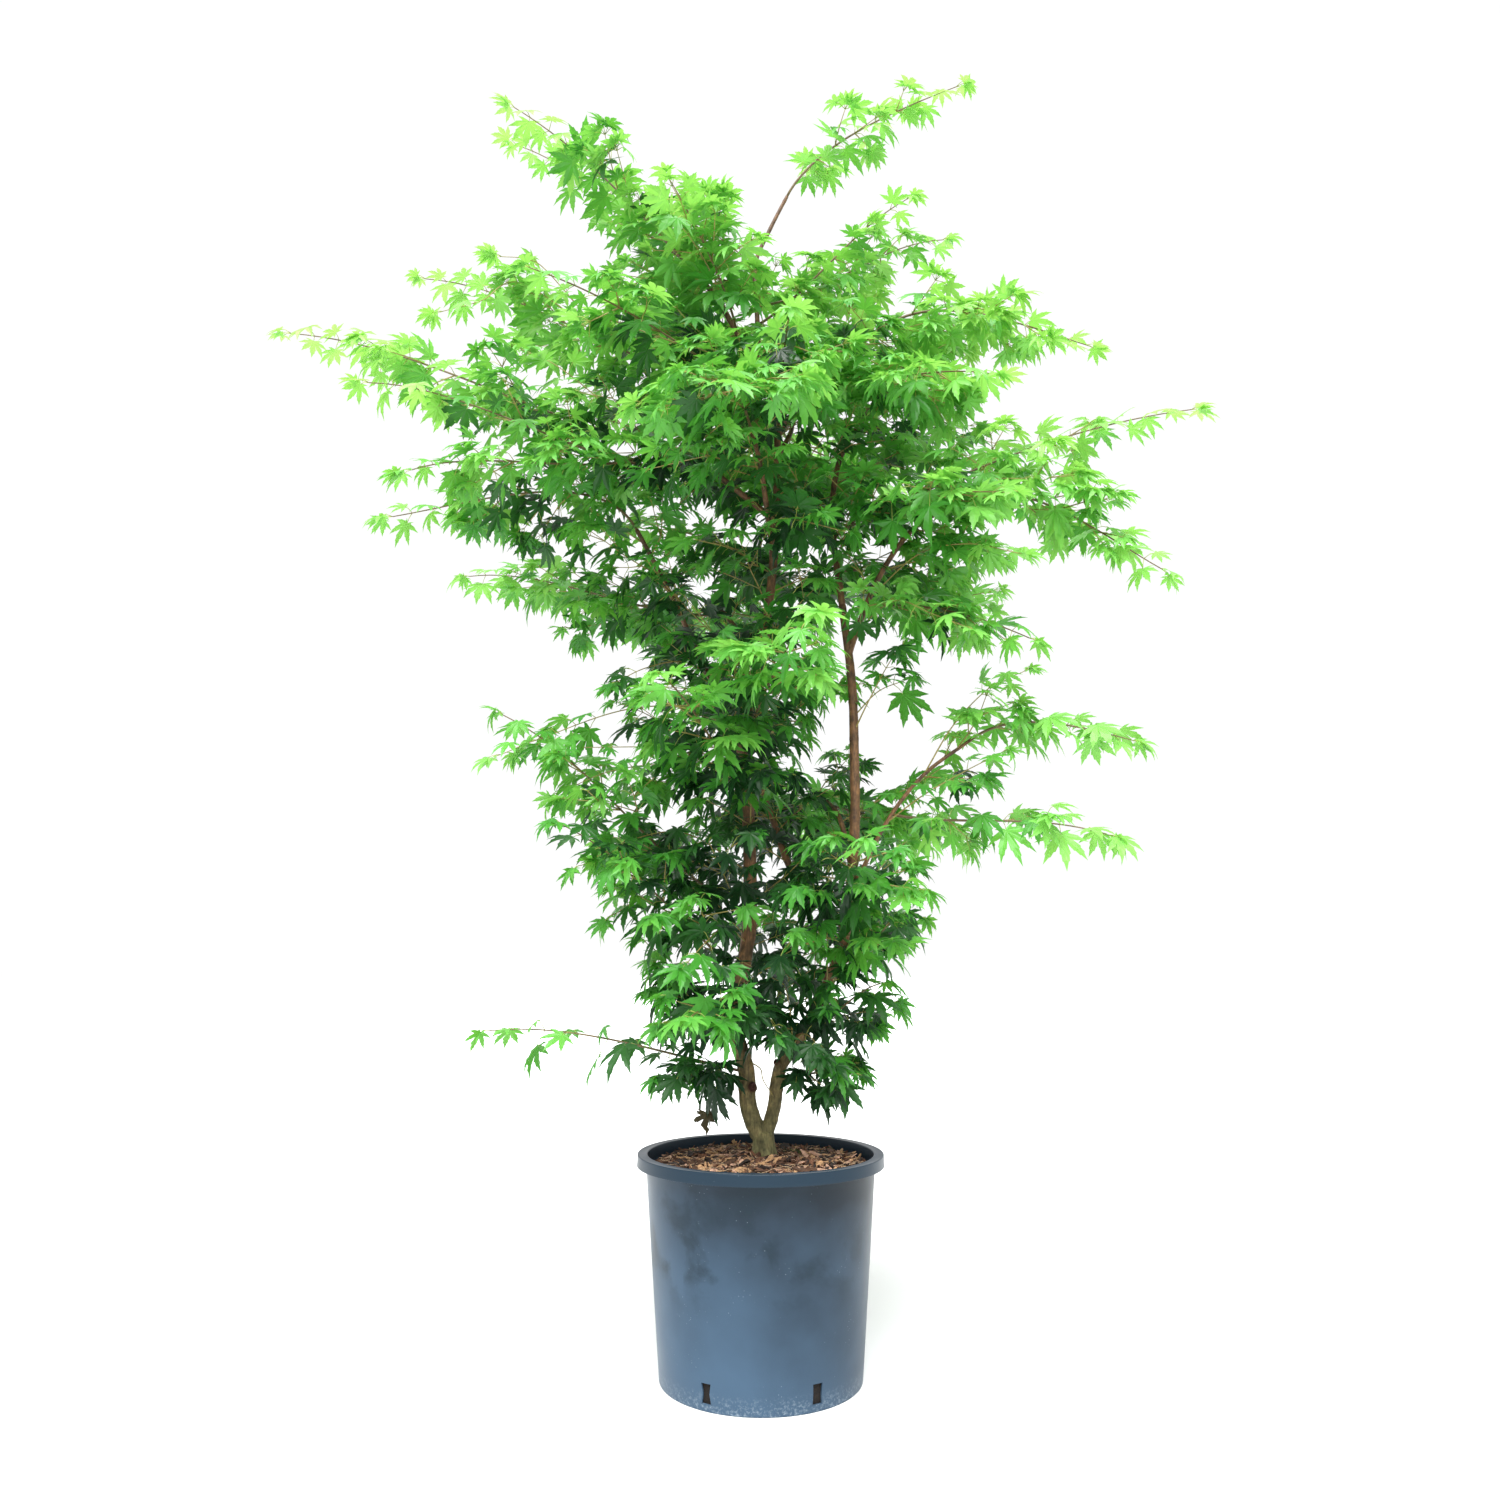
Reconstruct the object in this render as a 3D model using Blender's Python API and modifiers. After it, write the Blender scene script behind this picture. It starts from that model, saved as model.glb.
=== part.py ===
"""Japanese maple in a nursery pot: a forked trunk, tapering limbs and flat sprays of foliage.

Metres, +Z up.  The origin is the middle of the pot's flat underside.  X runs to the right of the
tree's front and Y to its back, so a negative Y comes forward.
"""
import math
import random

import bmesh
import bpy
from mathutils import Matrix, Vector
from mathutils.bvhtree import BVHTree

GAP = 0.0003                      # clearance between two pieces that touch
MERGE = 0.00005                   # vertices closer than this are one
UP = Vector((0.0, 0.0, 1.0))

# Pot, a thin moulded shell with a flange and a skirt round its mouth
POT_HEIGHT = 0.302
POT_BASE_RADIUS = 0.1436
POT_WALL_TOP_RADIUS = 0.1675
POT_RIM_RADIUS = 0.180
POT_WALL = 0.0030
POT_FLOOR = 0.0040
RIM_SKIRT = 0.016                 # height of the skirt that hangs from the flange
RIM_WALL = 0.0025
RIM_BEVEL = 0.0010
POT_FOOT_BEVEL = 0.0015
POT_STEPS = 32                    # facets round the pot and the mulch

# Drainage slots, low in the wall
SLOT_COUNT = 6
SLOT_WIDTH = 0.0145
SLOT_BOTTOM = 0.0095
SLOT_TOP = 0.0350
SLOT_CUT_DEPTH = 0.020            # of the cutter, which passes right through the wall

# Mulch, which fills the pot and rises to the trunk
MULCH_TOP = 0.2960
MULCH_SHOULDER = 0.2920
MULCH_SHOULDER_RADIUS = 0.105
MULCH_EDGE = 0.2860
MULCH_FLAT = 0.034                # radius of the level patch under the trunk

# Trunk
TRUNK_X = 0.004
TRUNK_Y = 0.010
TRUNK_FOOT_RADIUS = 0.0195
TRUNK_WAIST_RADIUS = 0.0160
TRUNK_TOP_RADIUS = 0.0160
TRUNK_WAIST = 0.020               # height of the waist above the mulch
TRUNK_FLARE = 0.86                # the flare's radius a third of the way up, over the foot's
FORK = 0.328                      # height of the crotch
ROOT_RIDGES = 5
ROOT_RIDGE_DEPTH = 0.12           # share of the foot's radius

# Limbs: waypoints up the limb's centre line, and the radius at its foot and tip.
# A limb with a host starts on it at the given share of the host's length.
ARM_LENGTH = 0.032                # height of the trunk's two arms above the crotch
ARM_SINK = 0.012                  # how far down the trunk they start
ARM_BULGE = 0.12                  # share of their reach by which they bow outwards
ARM_SWELL = 1.08                  # their foot's radius over their tip's
STEMS = {
    "left_stem": (((-0.021, 0.007, 0.416), (-0.041, 0.004, 0.500), (-0.017, 0.008, 0.621),
                   (-0.018, 0.012, 0.799), (-0.028, 0.020, 0.905), (-0.006, 0.030, 1.020)),
                  0.0128, 0.0082),
    "right_stem": (((0.030, 0.012, 0.420), (0.064, 0.014, 0.468), (0.125, 0.020, 0.597),
                    (0.147, 0.020, 0.759), (0.150, 0.020, 0.904), (0.148, 0.020, 1.017),
                    (0.135, 0.022, 1.145)),
                   0.0101, 0.0064),
}
ARMS = {"left_stem": (-0.0165, 0.008), "right_stem": (0.0195, 0.011)}    # where each arm ends
BOUGHS = {
    "leader": ("left_stem", 1.00, ((0.020, 0.036, 1.190), (0.030, 0.030, 1.380), (0.024, 0.020, 1.517),
                                   (-0.027, 0.010, 1.607), (-0.075, 0.002, 1.690),
                                   (-0.128, -0.004, 1.752)), 0.0080, 0.0040),
    "upper_leader": ("leader", 0.71, ((-0.004, 0.030, 1.700), (-0.006, 0.034, 1.775),
                                      (0.020, 0.030, 1.840), (0.050, 0.030, 1.905)), 0.0045, 0.0030),
    "right_leader": ("right_stem", 1.00, ((0.122, 0.034, 1.300), (0.140, 0.046, 1.420),
                                          (0.200, 0.052, 1.522)), 0.0058, 0.0040),
    "diagonal_bough": ("right_stem", 0.36, ((0.055, 0.062, 0.710), (0.018, 0.072, 0.810),
                                            (-0.029, 0.076, 0.920), (-0.088, 0.074, 1.050),
                                            (-0.156, 0.062, 1.194), (-0.205, 0.045, 1.285)),
                       0.0058, 0.0036),
    "left_high_bough": ("leader", 0.355, ((-0.040, 0.004, 1.340), (-0.115, -0.018, 1.390),
                                         (-0.205, -0.036, 1.408)), 0.0050, 0.0036),
    "right_low_bough": ("right_stem", 0.42, ((0.195, 0.002, 0.785), (0.255, -0.008, 0.860),
                                             (0.330, -0.018, 0.915)), 0.0036, 0.0026),
    "right_mid_bough": ("right_stem", 0.90, ((0.190, 0.008, 1.180), (0.250, -0.008, 1.265),
                                             (0.325, -0.022, 1.305)), 0.0050, 0.0036),
    "right_high_bough": ("leader", 0.55, ((0.085, 0.012, 1.520), (0.150, 0.000, 1.585),
                                          (0.215, -0.006, 1.630)), 0.0046, 0.0034),
    "front_high_bough": ("leader", 0.266, ((0.014, -0.035, 1.270), (0.000, -0.100, 1.335),
                                          (-0.015, -0.170, 1.360)), 0.0050, 0.0034),
    "back_low_bough": ("right_stem", 0.47, ((0.130, 0.070, 0.800), (0.112, 0.140, 0.840),
                                            (0.092, 0.210, 0.855)), 0.0046, 0.0032),
    "back_mid_bough": ("leader", 0.09, ((-0.030, 0.095, 1.120), (-0.065, 0.160, 1.180),
                                        (-0.090, 0.230, 1.205)), 0.0050, 0.0034),
    "back_high_bough": ("leader", 0.50, ((0.055, 0.085, 1.480), (0.060, 0.150, 1.535),
                                         (0.050, 0.215, 1.555)), 0.0046, 0.0034),
}

RING_SPACING = 0.100              # between the rings of a limb's mesh
STUB = 0.006                      # straight start of a limb that carries on from another's tip
THIN_LIMB = 0.0056                # a limb with a thinner foot has six sides in place of eight

# Masses of foliage: host limb, share of its length where the spray leaves it, the tip of its
# furthest leaf, and the half width of the spray.
MASSES = {
    "top_left": ("leader", 1.00, (-0.470, -0.060, 2.042), 0.100),
    "top_left_back": ("upper_leader", 0.45, (-0.500, 0.100, 2.085), 0.115),
    "top_right": ("upper_leader", 1.00, (0.402, -0.030, 2.100), 0.068),
    "top_front": ("leader", 0.80, (-0.180, -0.120, 1.885), 0.120),
    "top_back": ("upper_leader", 0.35, (0.402, 0.200, 1.945), 0.085),
    "upper_left": ("leader", 0.66, (-0.648, 0.060, 1.768), 0.130),
    "far_left": ("left_high_bough", 1.00, (-0.815, -0.080, 1.575), 0.120),
    "outer_left": ("left_high_bough", 0.60, (-0.620, -0.250, 1.388), 0.120),
    "mid_left": ("diagonal_bough", 1.00, (-0.645, -0.040, 1.262), 0.120),
    "lower_left": ("left_stem", 0.44, (-0.440, -0.080, 0.965), 0.125),
    "low_left": ("left_stem", 0.30, (-0.325, -0.180, 0.785), 0.120),
    "low_left_inner": ("left_stem", 0.15, (-0.222, 0.030, 0.632), 0.105),
    "low_shoot": ("left_stem", 0.08, (-0.463, 0.000, 0.468), 0.060),
    "low_front": ("left_stem", 0.20, (-0.110, -0.240, 0.490), 0.105),
    "foot_left": ("left_stem", 0.05, (-0.190, -0.070, 0.405), 0.090),
    "foot_right": ("right_stem", 0.05, (0.185, -0.050, 0.402), 0.080),
    "low_right_inner": ("right_stem", 0.17, (0.230, -0.060, 0.552), 0.095),
    "low_right": ("right_stem", 0.27, (0.272, 0.010, 0.668), 0.090),
    "right_low": ("right_low_bough", 0.45, (0.562, -0.100, 0.736), 0.068),
    "right_mid_low": ("right_low_bough", 1.00, (0.630, -0.030, 0.895), 0.080),
    "right_inner": ("right_mid_bough", 0.25, (0.440, -0.150, 1.015), 0.085),
    "right_mid": ("right_mid_bough", 1.00, (0.668, -0.080, 1.140), 0.115),
    "far_right": ("right_leader", 0.32, (0.752, -0.070, 1.450), 0.105),
    "upper_right": ("right_high_bough", 1.00, (0.580, -0.080, 1.530), 0.115),
    "upper_right_back": ("right_leader", 1.00, (0.500, 0.180, 1.785), 0.120),
    "top_right_inner": ("upper_leader", 0.24, (0.300, -0.060, 1.862), 0.075),
    "front_right_high": ("right_high_bough", 0.30, (0.365, -0.290, 1.370), 0.125),
    "front_right_mid": ("right_leader", 0.30, (0.390, -0.270, 1.210), 0.120),
    "front_upper": ("leader", 0.55, (0.040, -0.390, 1.430), 0.135),
    "front_left_high": ("leader", 0.585, (-0.359, -0.370, 1.505), 0.130),
    "front_high": ("front_high_bough", 1.00, (-0.060, -0.490, 1.250), 0.140),
    "front_left": ("left_high_bough", 0.85, (-0.560, -0.200, 1.258), 0.120),
    "front_mid": ("left_stem", 0.82, (0.075, -0.460, 0.990), 0.130),
    "front_left_low": ("left_stem", 0.70, (-0.150, -0.360, 0.945), 0.125),
    "front_low": ("right_stem", 0.36, (0.130, -0.350, 0.730), 0.120),
    "back_left_high": ("back_high_bough", 0.60, (-0.360, 0.340, 1.970), 0.140),
    "back_right_high": ("back_high_bough", 1.00, (0.340, 0.560, 1.540), 0.145),
    "back_mid": ("back_mid_bough", 1.00, (-0.080, 0.620, 1.250), 0.145),
    "back_left_mid": ("back_mid_bough", 0.60, (-0.602, 0.300, 1.290), 0.130),
    "back_right_mid": ("right_leader", 0.15, (0.520, 0.410, 1.180), 0.140),
    "back_low": ("back_low_bough", 1.00, (0.120, 0.560, 0.800), 0.130),
    "back_left_low": ("left_stem", 0.52, (-0.320, 0.350, 0.790), 0.130),
    "back_right_low": ("back_low_bough", 0.60, (0.420, 0.370, 0.770), 0.125),
}

# Foliage
LEAVING_RISE = 0.38               # how far a side spray leans up along its host where it leaves it
TIP_FALL = 0.22                   # how far a spray's stem bends down at its end
TWIG_FOOT = 0.0030                # radius of a spray's stem where it leaves its host
TWIG_TIP = 0.0014
TWIG_STUB = 0.004
STEM_POINTS = 6                   # along a spray's stem
SHOOT_FOOT = 0.0017
SHOOT_TIP = 0.0011
LEAF_SHARE = 1.15                 # a leaf's stalk and blade, as a share of its spray's half width
LEAF_TRIALS = (1.0, 0.9, 0.75, 0.65)    # sizes tried in turn where space is short
LEAF_DROOP = (24, 62)             # degrees below level
LEAF_HALF_THICKNESS = 0.014       # share of the leaf's length, at the palm
# Outline round the palm, as angle from the middle lobe's tip and radius: tips and hollows in turn
LEAF_OUTLINE = ((0, 0.66), (25, 0.20), (50, 0.56), (80, 0.17), (112, 0.36), (180, 0.34))
LEAF_PALM = 0.34                  # stalk's share of the leaf's length
LEAF_LOBE_DROOP = 0.16            # how far a lobe's tip hangs, over the square of its reach
TIP_DROOP = math.radians(14)      # of the leaf that ends a spray
LEAF_SPACING = 0.105              # between pairs along a spray's stem
SHOOT_SPACING = 0.22              # between side shoots
SPACE_MARGIN = 1.02               # a leaf stays this much nearer its own spray than any other


# ---------------------------------------------------------------- helpers


def clear_scene():
    for old in list(bpy.data.objects):
        bpy.data.objects.remove(old)


def new_material(name, colour, roughness, metallic=0.0):
    material = bpy.data.materials.new(name)
    material.use_nodes = True
    shader = material.node_tree.nodes["Principled BSDF"]
    shader.inputs["Base Color"].default_value = (*colour, 1.0)
    shader.inputs["Roughness"].default_value = roughness
    shader.inputs["Metallic"].default_value = metallic
    return material


def add_object(name, mesh, material, collection):
    piece = bpy.data.objects.new(name, mesh)
    mesh.materials.clear()
    mesh.materials.append(material)
    collection.objects.link(piece)
    return piece


def evaluated_mesh(piece):
    depsgraph = bpy.context.evaluated_depsgraph_get()
    return bpy.data.meshes.new_from_object(piece.evaluated_get(depsgraph))


def welded(mesh):
    """Close a mesh whose caps are loose, with its faces pointing out."""
    work = bmesh.new()
    work.from_mesh(mesh)
    bmesh.ops.remove_doubles(work, verts=work.verts, dist=MERGE)
    bmesh.ops.recalc_face_normals(work, faces=work.faces)
    work.to_mesh(mesh)
    work.free()
    return mesh


def shade_round(mesh, angle):
    mesh.shade_smooth()
    mesh.set_sharp_from_angle(angle=angle)


def add_boolean(piece, operation, solver, cutter=None, cutters=None):
    modifier = piece.modifiers.new(operation.title(), "BOOLEAN")
    modifier.operation = operation
    modifier.solver = solver
    if cutters:
        modifier.operand_type = "COLLECTION"
        modifier.collection = cutters
    else:
        modifier.object = cutter
    return modifier


def apply_modifiers(piece):
    mesh = evaluated_mesh(piece)
    piece.modifiers.clear()
    piece.data = mesh


# ---------------------------------------------------------------- lines and tubes


class Line:
    """A line through points, read by the share of its length."""

    def __init__(self, points):
        self.points = [Vector(point) for point in points]
        self.lengths = [0.0]
        for start, end in zip(self.points, self.points[1:]):
            self.lengths.append(self.lengths[-1] + (end - start).length)
        self.length = self.lengths[-1]

    def span(self, share):
        """The index of the point after this share of the length."""
        target = share * self.length
        index = 1
        while index < len(self.lengths) - 1 and self.lengths[index] < target:
            index += 1
        return index

    def at(self, share):
        index = self.span(share)
        before = self.lengths[index - 1]
        part = (share * self.length - before) / (self.lengths[index] - before)
        return self.points[index - 1].lerp(self.points[index], part)

    def direction(self, share):
        index = self.span(share)
        return (self.points[index] - self.points[index - 1]).normalized()

    def spaced(self, count):
        return Line([self.at(index / (count - 1)) for index in range(count)])

    def with_stub(self, direction, length):
        """The same line with a short straight start, so that its first face is square to it."""
        return Line([self.points[0], self.points[0] + direction * length] + self.points[1:])


def smooth(waypoints, before=None):
    """A smooth line through waypoints, which may carry on from a point before the first."""
    samples = 12
    points = [Vector(point) for point in waypoints]
    first = before if before else points[0] * 2 - points[1]
    ends = [first] + points + [points[-1] * 2 - points[-2]]
    line = [points[0]]
    for a, b, c, d in zip(ends, ends[1:], ends[2:], ends[3:]):
        for step in range(1, samples + 1):
            t = step / samples
            line.append(((b * 2) + (c - a) * t + (a * 2 - b * 5 + c * 4 - d) * t ** 2
                         + (b * 3 - a - c * 3 + d) * t ** 3) * 0.5)
    return Line(line)


def arched(start, out, ahead, end):
    """A smooth arch that leaves start along out and comes to end along ahead."""
    samples = 12
    chord = (end - start).length
    bends = (start, start + out * chord * 0.33, end - ahead * chord * 0.33, end)
    points = []
    for step in range(samples + 1):
        t = step / samples
        weights = ((1 - t) ** 3, 3 * t * (1 - t) ** 2, 3 * t * t * (1 - t), t ** 3)
        points.append(sum((bend * weight for bend, weight in zip(bends, weights)), Vector()))
    return Line(points)


def tube_mesh(points, radii, resolution, triangle=None):
    """A tapering tube along points: round, or three-sided where a triangle profile is given."""
    curve = bpy.data.curves.new("tube", "CURVE")
    curve.dimensions = "3D"
    curve.use_fill_caps = True
    if triangle:
        curve.bevel_mode = "OBJECT"
        curve.bevel_object = triangle
    else:
        curve.bevel_depth = 1.0
        curve.bevel_resolution = resolution
    spline = curve.splines.new("POLY")
    spline.points.add(len(points) - 1)
    for point, place, radius in zip(spline.points, points, radii):
        point.co = (*place, 1.0)
        point.radius = radius
    holder = bpy.data.objects.new("tube", curve)
    bpy.context.scene.collection.objects.link(holder)
    mesh = welded(evaluated_mesh(holder))
    bpy.data.objects.remove(holder)
    bpy.data.curves.remove(curve)
    return mesh


def triangle_profile():
    """The three-sided section of every twig, one unit in radius."""
    curve = bpy.data.curves.new("twig_section", "CURVE")
    curve.dimensions = "2D"
    spline = curve.splines.new("POLY")
    spline.points.add(2)
    spline.use_cyclic_u = True
    for index, point in enumerate(spline.points):
        angle = math.tau * index / 3
        point.co = (math.cos(angle), math.sin(angle), 0.0, 1.0)
    profile = bpy.data.objects.new("twig_section", curve)
    bpy.context.scene.collection.objects.link(profile)
    return profile


# ---------------------------------------------------------------- pot and mulch


def turned(name, profile, material, collection):
    """A solid turned about the Z axis from (radius, height) points."""
    mesh = bpy.data.meshes.new(name)
    outline = bmesh.new()
    corners = [outline.verts.new((radius, 0.0, height)) for radius, height in profile]
    for start, end in zip(corners, corners[1:]):
        outline.edges.new((start, end))
    outline.to_mesh(mesh)
    outline.free()
    piece = add_object(name, mesh, material, collection)
    screw = piece.modifiers.new("Turn", "SCREW")
    screw.angle = math.tau
    screw.steps = POT_STEPS
    screw.render_steps = POT_STEPS
    screw.use_merge_vertices = True
    screw.merge_threshold = MERGE
    return piece


def wall_radius(height):
    """The pot's outer radius at a height."""
    share = height / (POT_HEIGHT - RIM_WALL)
    return POT_BASE_RADIUS + (POT_WALL_TOP_RADIUS - POT_BASE_RADIUS) * share


def make_pot(material, collection, cutters):
    skirt_bottom = POT_HEIGHT - RIM_SKIRT
    flange_under = POT_HEIGHT - RIM_WALL
    profile = [
        (0.0, POT_FLOOR),
        (wall_radius(POT_FLOOR) - POT_WALL, POT_FLOOR),
        (wall_radius(POT_HEIGHT) - POT_WALL, POT_HEIGHT - RIM_BEVEL),
        (wall_radius(POT_HEIGHT) - POT_WALL + RIM_BEVEL, POT_HEIGHT),
        (POT_RIM_RADIUS - RIM_WALL, POT_HEIGHT),
        (POT_RIM_RADIUS, POT_HEIGHT - RIM_WALL),
        (POT_RIM_RADIUS, skirt_bottom),
        (POT_RIM_RADIUS - RIM_WALL, skirt_bottom),
        (POT_RIM_RADIUS - RIM_WALL - RIM_BEVEL, flange_under - RIM_BEVEL),
        (wall_radius(flange_under), flange_under - RIM_BEVEL),
        (wall_radius(POT_FOOT_BEVEL), POT_FOOT_BEVEL),
        (POT_BASE_RADIUS - POT_FOOT_BEVEL, 0.0),
        (0.0, 0.0),
    ]
    pot = turned("pot", profile, material, collection)
    for index in range(SLOT_COUNT):
        angle = math.tau * index / SLOT_COUNT
        height = (SLOT_BOTTOM + SLOT_TOP) / 2
        bpy.ops.mesh.primitive_cube_add(size=1.0)
        slot = bpy.context.object
        slot.name = f"slot_cutter_{index + 1}"
        radius = wall_radius(height) - POT_WALL / 2
        place = Matrix.Rotation(angle - math.pi / 2, 4, "Z") @ Matrix.Translation((0.0, radius, height))
        size = Matrix.Diagonal((SLOT_WIDTH, SLOT_CUT_DEPTH, SLOT_TOP - SLOT_BOTTOM, 1.0))
        slot.data.transform(place @ size)
        for holder in list(slot.users_collection):
            holder.objects.unlink(slot)
        cutters.objects.link(slot)
        slot.hide_render = True
        slot.display_type = "WIRE"
    add_boolean(pot, "DIFFERENCE", "EXACT", cutters=cutters)
    apply_modifiers(pot)


def make_mulch(material, collection):
    bottom = POT_FLOOR + GAP
    clearance = POT_WALL + GAP
    profile = [
        (0.0, MULCH_TOP),
        (MULCH_FLAT, MULCH_TOP),
        (MULCH_SHOULDER_RADIUS, MULCH_SHOULDER),
        (wall_radius(MULCH_EDGE) - clearance, MULCH_EDGE),
        (wall_radius(bottom) - clearance, bottom),
        (0.0, bottom),
    ]
    apply_modifiers(turned("mulch", profile, material, collection))


# ---------------------------------------------------------------- trunk and limbs


def make_trunk(material, collection):
    """The flared foot, from its flat cut on the mulch, and the two short arms of the fork."""
    foot = Vector((TRUNK_X, TRUNK_Y, MULCH_TOP + GAP))
    crotch = Vector((TRUNK_X, TRUNK_Y, FORK))
    heights = [0.0, 0.3 * TRUNK_WAIST, TRUNK_WAIST, crotch.z - foot.z]
    radii = [TRUNK_FOOT_RADIUS, TRUNK_FOOT_RADIUS * TRUNK_FLARE, TRUNK_WAIST_RADIUS, TRUNK_TOP_RADIUS]
    base = tube_mesh([foot + UP * height for height in heights], radii, 4)
    for vertex in base.vertices:
        flare = max(0.0, 1.0 - (vertex.co.z - foot.z) / TRUNK_WAIST)
        side = vertex.co - foot
        ridge = 1.0 + ROOT_RIDGE_DEPTH * flare * math.cos(ROOT_RIDGES * math.atan2(side.y, side.x))
        vertex.co.x = foot.x + side.x * ridge
        vertex.co.y = foot.y + side.y * ridge
    trunk = add_object("trunk", base, material, collection)
    arms = bpy.data.collections.new("arms")
    limbs = {}
    for stem, (x, y) in ARMS.items():
        radius = STEMS[stem][1]
        start = crotch - UP * ARM_SINK
        end = Vector((x, y, crotch.z + ARM_LENGTH))
        outward = Vector((end.x - start.x, end.y - start.y, 0.0))
        limb = Limb(smooth((start, start.lerp(end, 0.5) + outward * ARM_BULGE, end)).spaced(3),
                    radius * ARM_SWELL, radius)
        add_object(f"arm_{stem}", limb.mesh(), material, arms)
        limbs[stem] = limb
    add_boolean(trunk, "UNION", "EXACT", cutters=arms)
    apply_modifiers(trunk)
    for arm in list(arms.objects):
        bpy.data.objects.remove(arm)
    bpy.data.collections.remove(arms)
    return trunk, limbs


class Limb:
    """A tapering limb: the line of its mesh, and its radius at foot and tip."""

    def __init__(self, line, foot, tip):
        self.line = line
        self.foot = foot
        self.tip = tip

    def radius(self, share):
        return self.foot + (self.tip - self.foot) * share

    def mesh(self, extra=0.0):
        """The limb's mesh, or a swollen copy whose end reaches out by the same clearance."""
        line = self.line
        if extra:
            line = Line(line.points[:-1] + [line.points[-1] + line.direction(1.0) * extra])
        radii = [self.radius(length / line.length) + extra for length in line.lengths]
        return tube_mesh(line.points, radii, 1 if self.foot < THIN_LIMB else 2)


def grown_limb(host, share, waypoints, foot, tip):
    """A limb that carries on from its host's tip, or starts on its host's centre line."""
    if share == 1.0:
        way = host.line.direction(1.0)
        start = host.line.at(1.0) + way * GAP
        line = smooth((start, *waypoints), before=start - way * RING_SPACING)
    else:
        start = host.line.at(share)
        line = smooth((start, *waypoints))
    line = line.spaced(max(4, round(line.length / RING_SPACING) + 1))
    return Limb(line.with_stub(way, STUB) if share == 1.0 else line, foot, tip)


def cut_clear(mesh, name, cutter, collection):
    """The mesh with the swollen copy of its host cut away, so that it meets the host's skin."""
    piece = bpy.data.objects.new(name, mesh)
    collection.objects.link(piece)
    add_boolean(piece, "DIFFERENCE", "EXACT", cutter=cutter)
    cut = evaluated_mesh(piece)
    bpy.data.objects.remove(piece)
    keep_largest(cut)
    return cut


def host_cutter(name, limb, collection):
    cutter = bpy.data.objects.new(f"{name}_cutter", limb.mesh(extra=GAP))
    cutter.hide_render = True
    cutter.display_type = "WIRE"
    collection.objects.link(cutter)
    return cutter


def make_limbs(material, collection, cutters, arms):
    """Both stems, then every bough, cut clear of the limb it grows from."""
    limbs = {}
    hosts = {}
    for name, (waypoints, foot, tip) in STEMS.items():
        limbs[name] = grown_limb(arms[name], 1.0, waypoints, foot, tip)
        add_object(name, limbs[name].mesh(), material, collection)
        hosts[name] = host_cutter(name, limbs[name], cutters)
    for name, (host, share, waypoints, foot, tip) in BOUGHS.items():
        limbs[name] = grown_limb(limbs[host], share, waypoints, foot, tip)
        mesh = limbs[name].mesh()
        if share < 1.0:
            mesh = cut_clear(mesh, name, hosts[host], cutters)
        add_object(name, mesh, material, collection)
        hosts[name] = host_cutter(name, limbs[name], cutters)
    for name in limbs:
        shade_round(bpy.data.objects[name].data, math.radians(50))
    return limbs, hosts


def keep_largest(mesh):
    """Drop loose scraps and fill sealed hollows, which are both islands of faces."""
    work = bmesh.new()
    work.from_mesh(mesh)
    islands = []
    unseen = set(work.verts)
    while unseen:
        island = [unseen.pop()]
        for vertex in island:
            for edge in vertex.link_edges:
                other = edge.other_vert(vertex)
                if other in unseen:
                    unseen.remove(other)
                    island.append(other)
        islands.append(island)
    islands.sort(key=len)
    for island in islands[:-1]:
        bmesh.ops.delete(work, geom=island, context="VERTS")
    work.to_mesh(mesh)
    work.free()


# ---------------------------------------------------------------- foliage


def last_direction(reach):
    """The way a spray's stem points at its end: along its reach, and a little down."""
    return (reach.normalized() - UP * TIP_FALL).normalized()


def spray_line(host, share, tip, leaf_length):
    """The arched stem of a spray, from its host to where its last leaf begins."""
    tip = Vector(tip)
    start = host.line.at(share)
    along = host.line.direction(share)
    if share == 1.0:
        start += along * GAP
        out = along
    else:
        towards = tip - start
        out = ((towards - along * towards.dot(along)).normalized() + along * LEAVING_RISE).normalized()
    ahead = last_direction(tip - start)
    leaf = leaf_frame(Vector(), ahead, TIP_DROOP, 0.0, leaf_length).to_3x3() @ Vector((0.98, 0.0, 0.0))
    line = arched(start, out, ahead, tip - leaf).spaced(STEM_POINTS)
    return line.with_stub(along, TWIG_STUB) if share == 1.0 else line


class Spaces:
    """Every spray's own space: the points that are nearer to its stem, for its width, than to others."""

    def __init__(self, lines):
        self.stems = {name: line.points for name, line in lines.items()}

    def distance(self, name, point):
        best = math.inf
        stem = self.stems[name]
        for start, end in zip(stem, stem[1:]):
            span = end - start
            share = min(max((point - start).dot(span) / span.length_squared, 0.0), 1.0)
            best = min(best, (point - start - span * share).length_squared)
        return math.sqrt(best) / MASSES[name][3]

    def owns(self, name, point, margin=SPACE_MARGIN):
        own = self.distance(name, point) * margin
        return all(own < self.distance(other, point) for other in self.stems if other != name)


class Solids:
    """What is already in place, so that a new twig or leaf that would touch it can be skipped."""

    def __init__(self):
        self.items = []

    def add(self, owner, mesh):
        middle = sum((vertex.co for vertex in mesh.vertices), Vector()) / len(mesh.vertices)
        reach = max((vertex.co - middle).length for vertex in mesh.vertices)
        self.items.append((owner, middle, reach, tree_of(mesh)))

    def touches(self, owner, mesh):
        middle = sum((vertex.co for vertex in mesh.vertices), Vector()) / len(mesh.vertices)
        reach = max((vertex.co - middle).length for vertex in mesh.vertices)
        tree = tree_of(mesh)
        for other, centre, size, shape in self.items:
            if other != owner and (centre - middle).length < reach + size and tree.overlap(shape):
                return True
        return False


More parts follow.
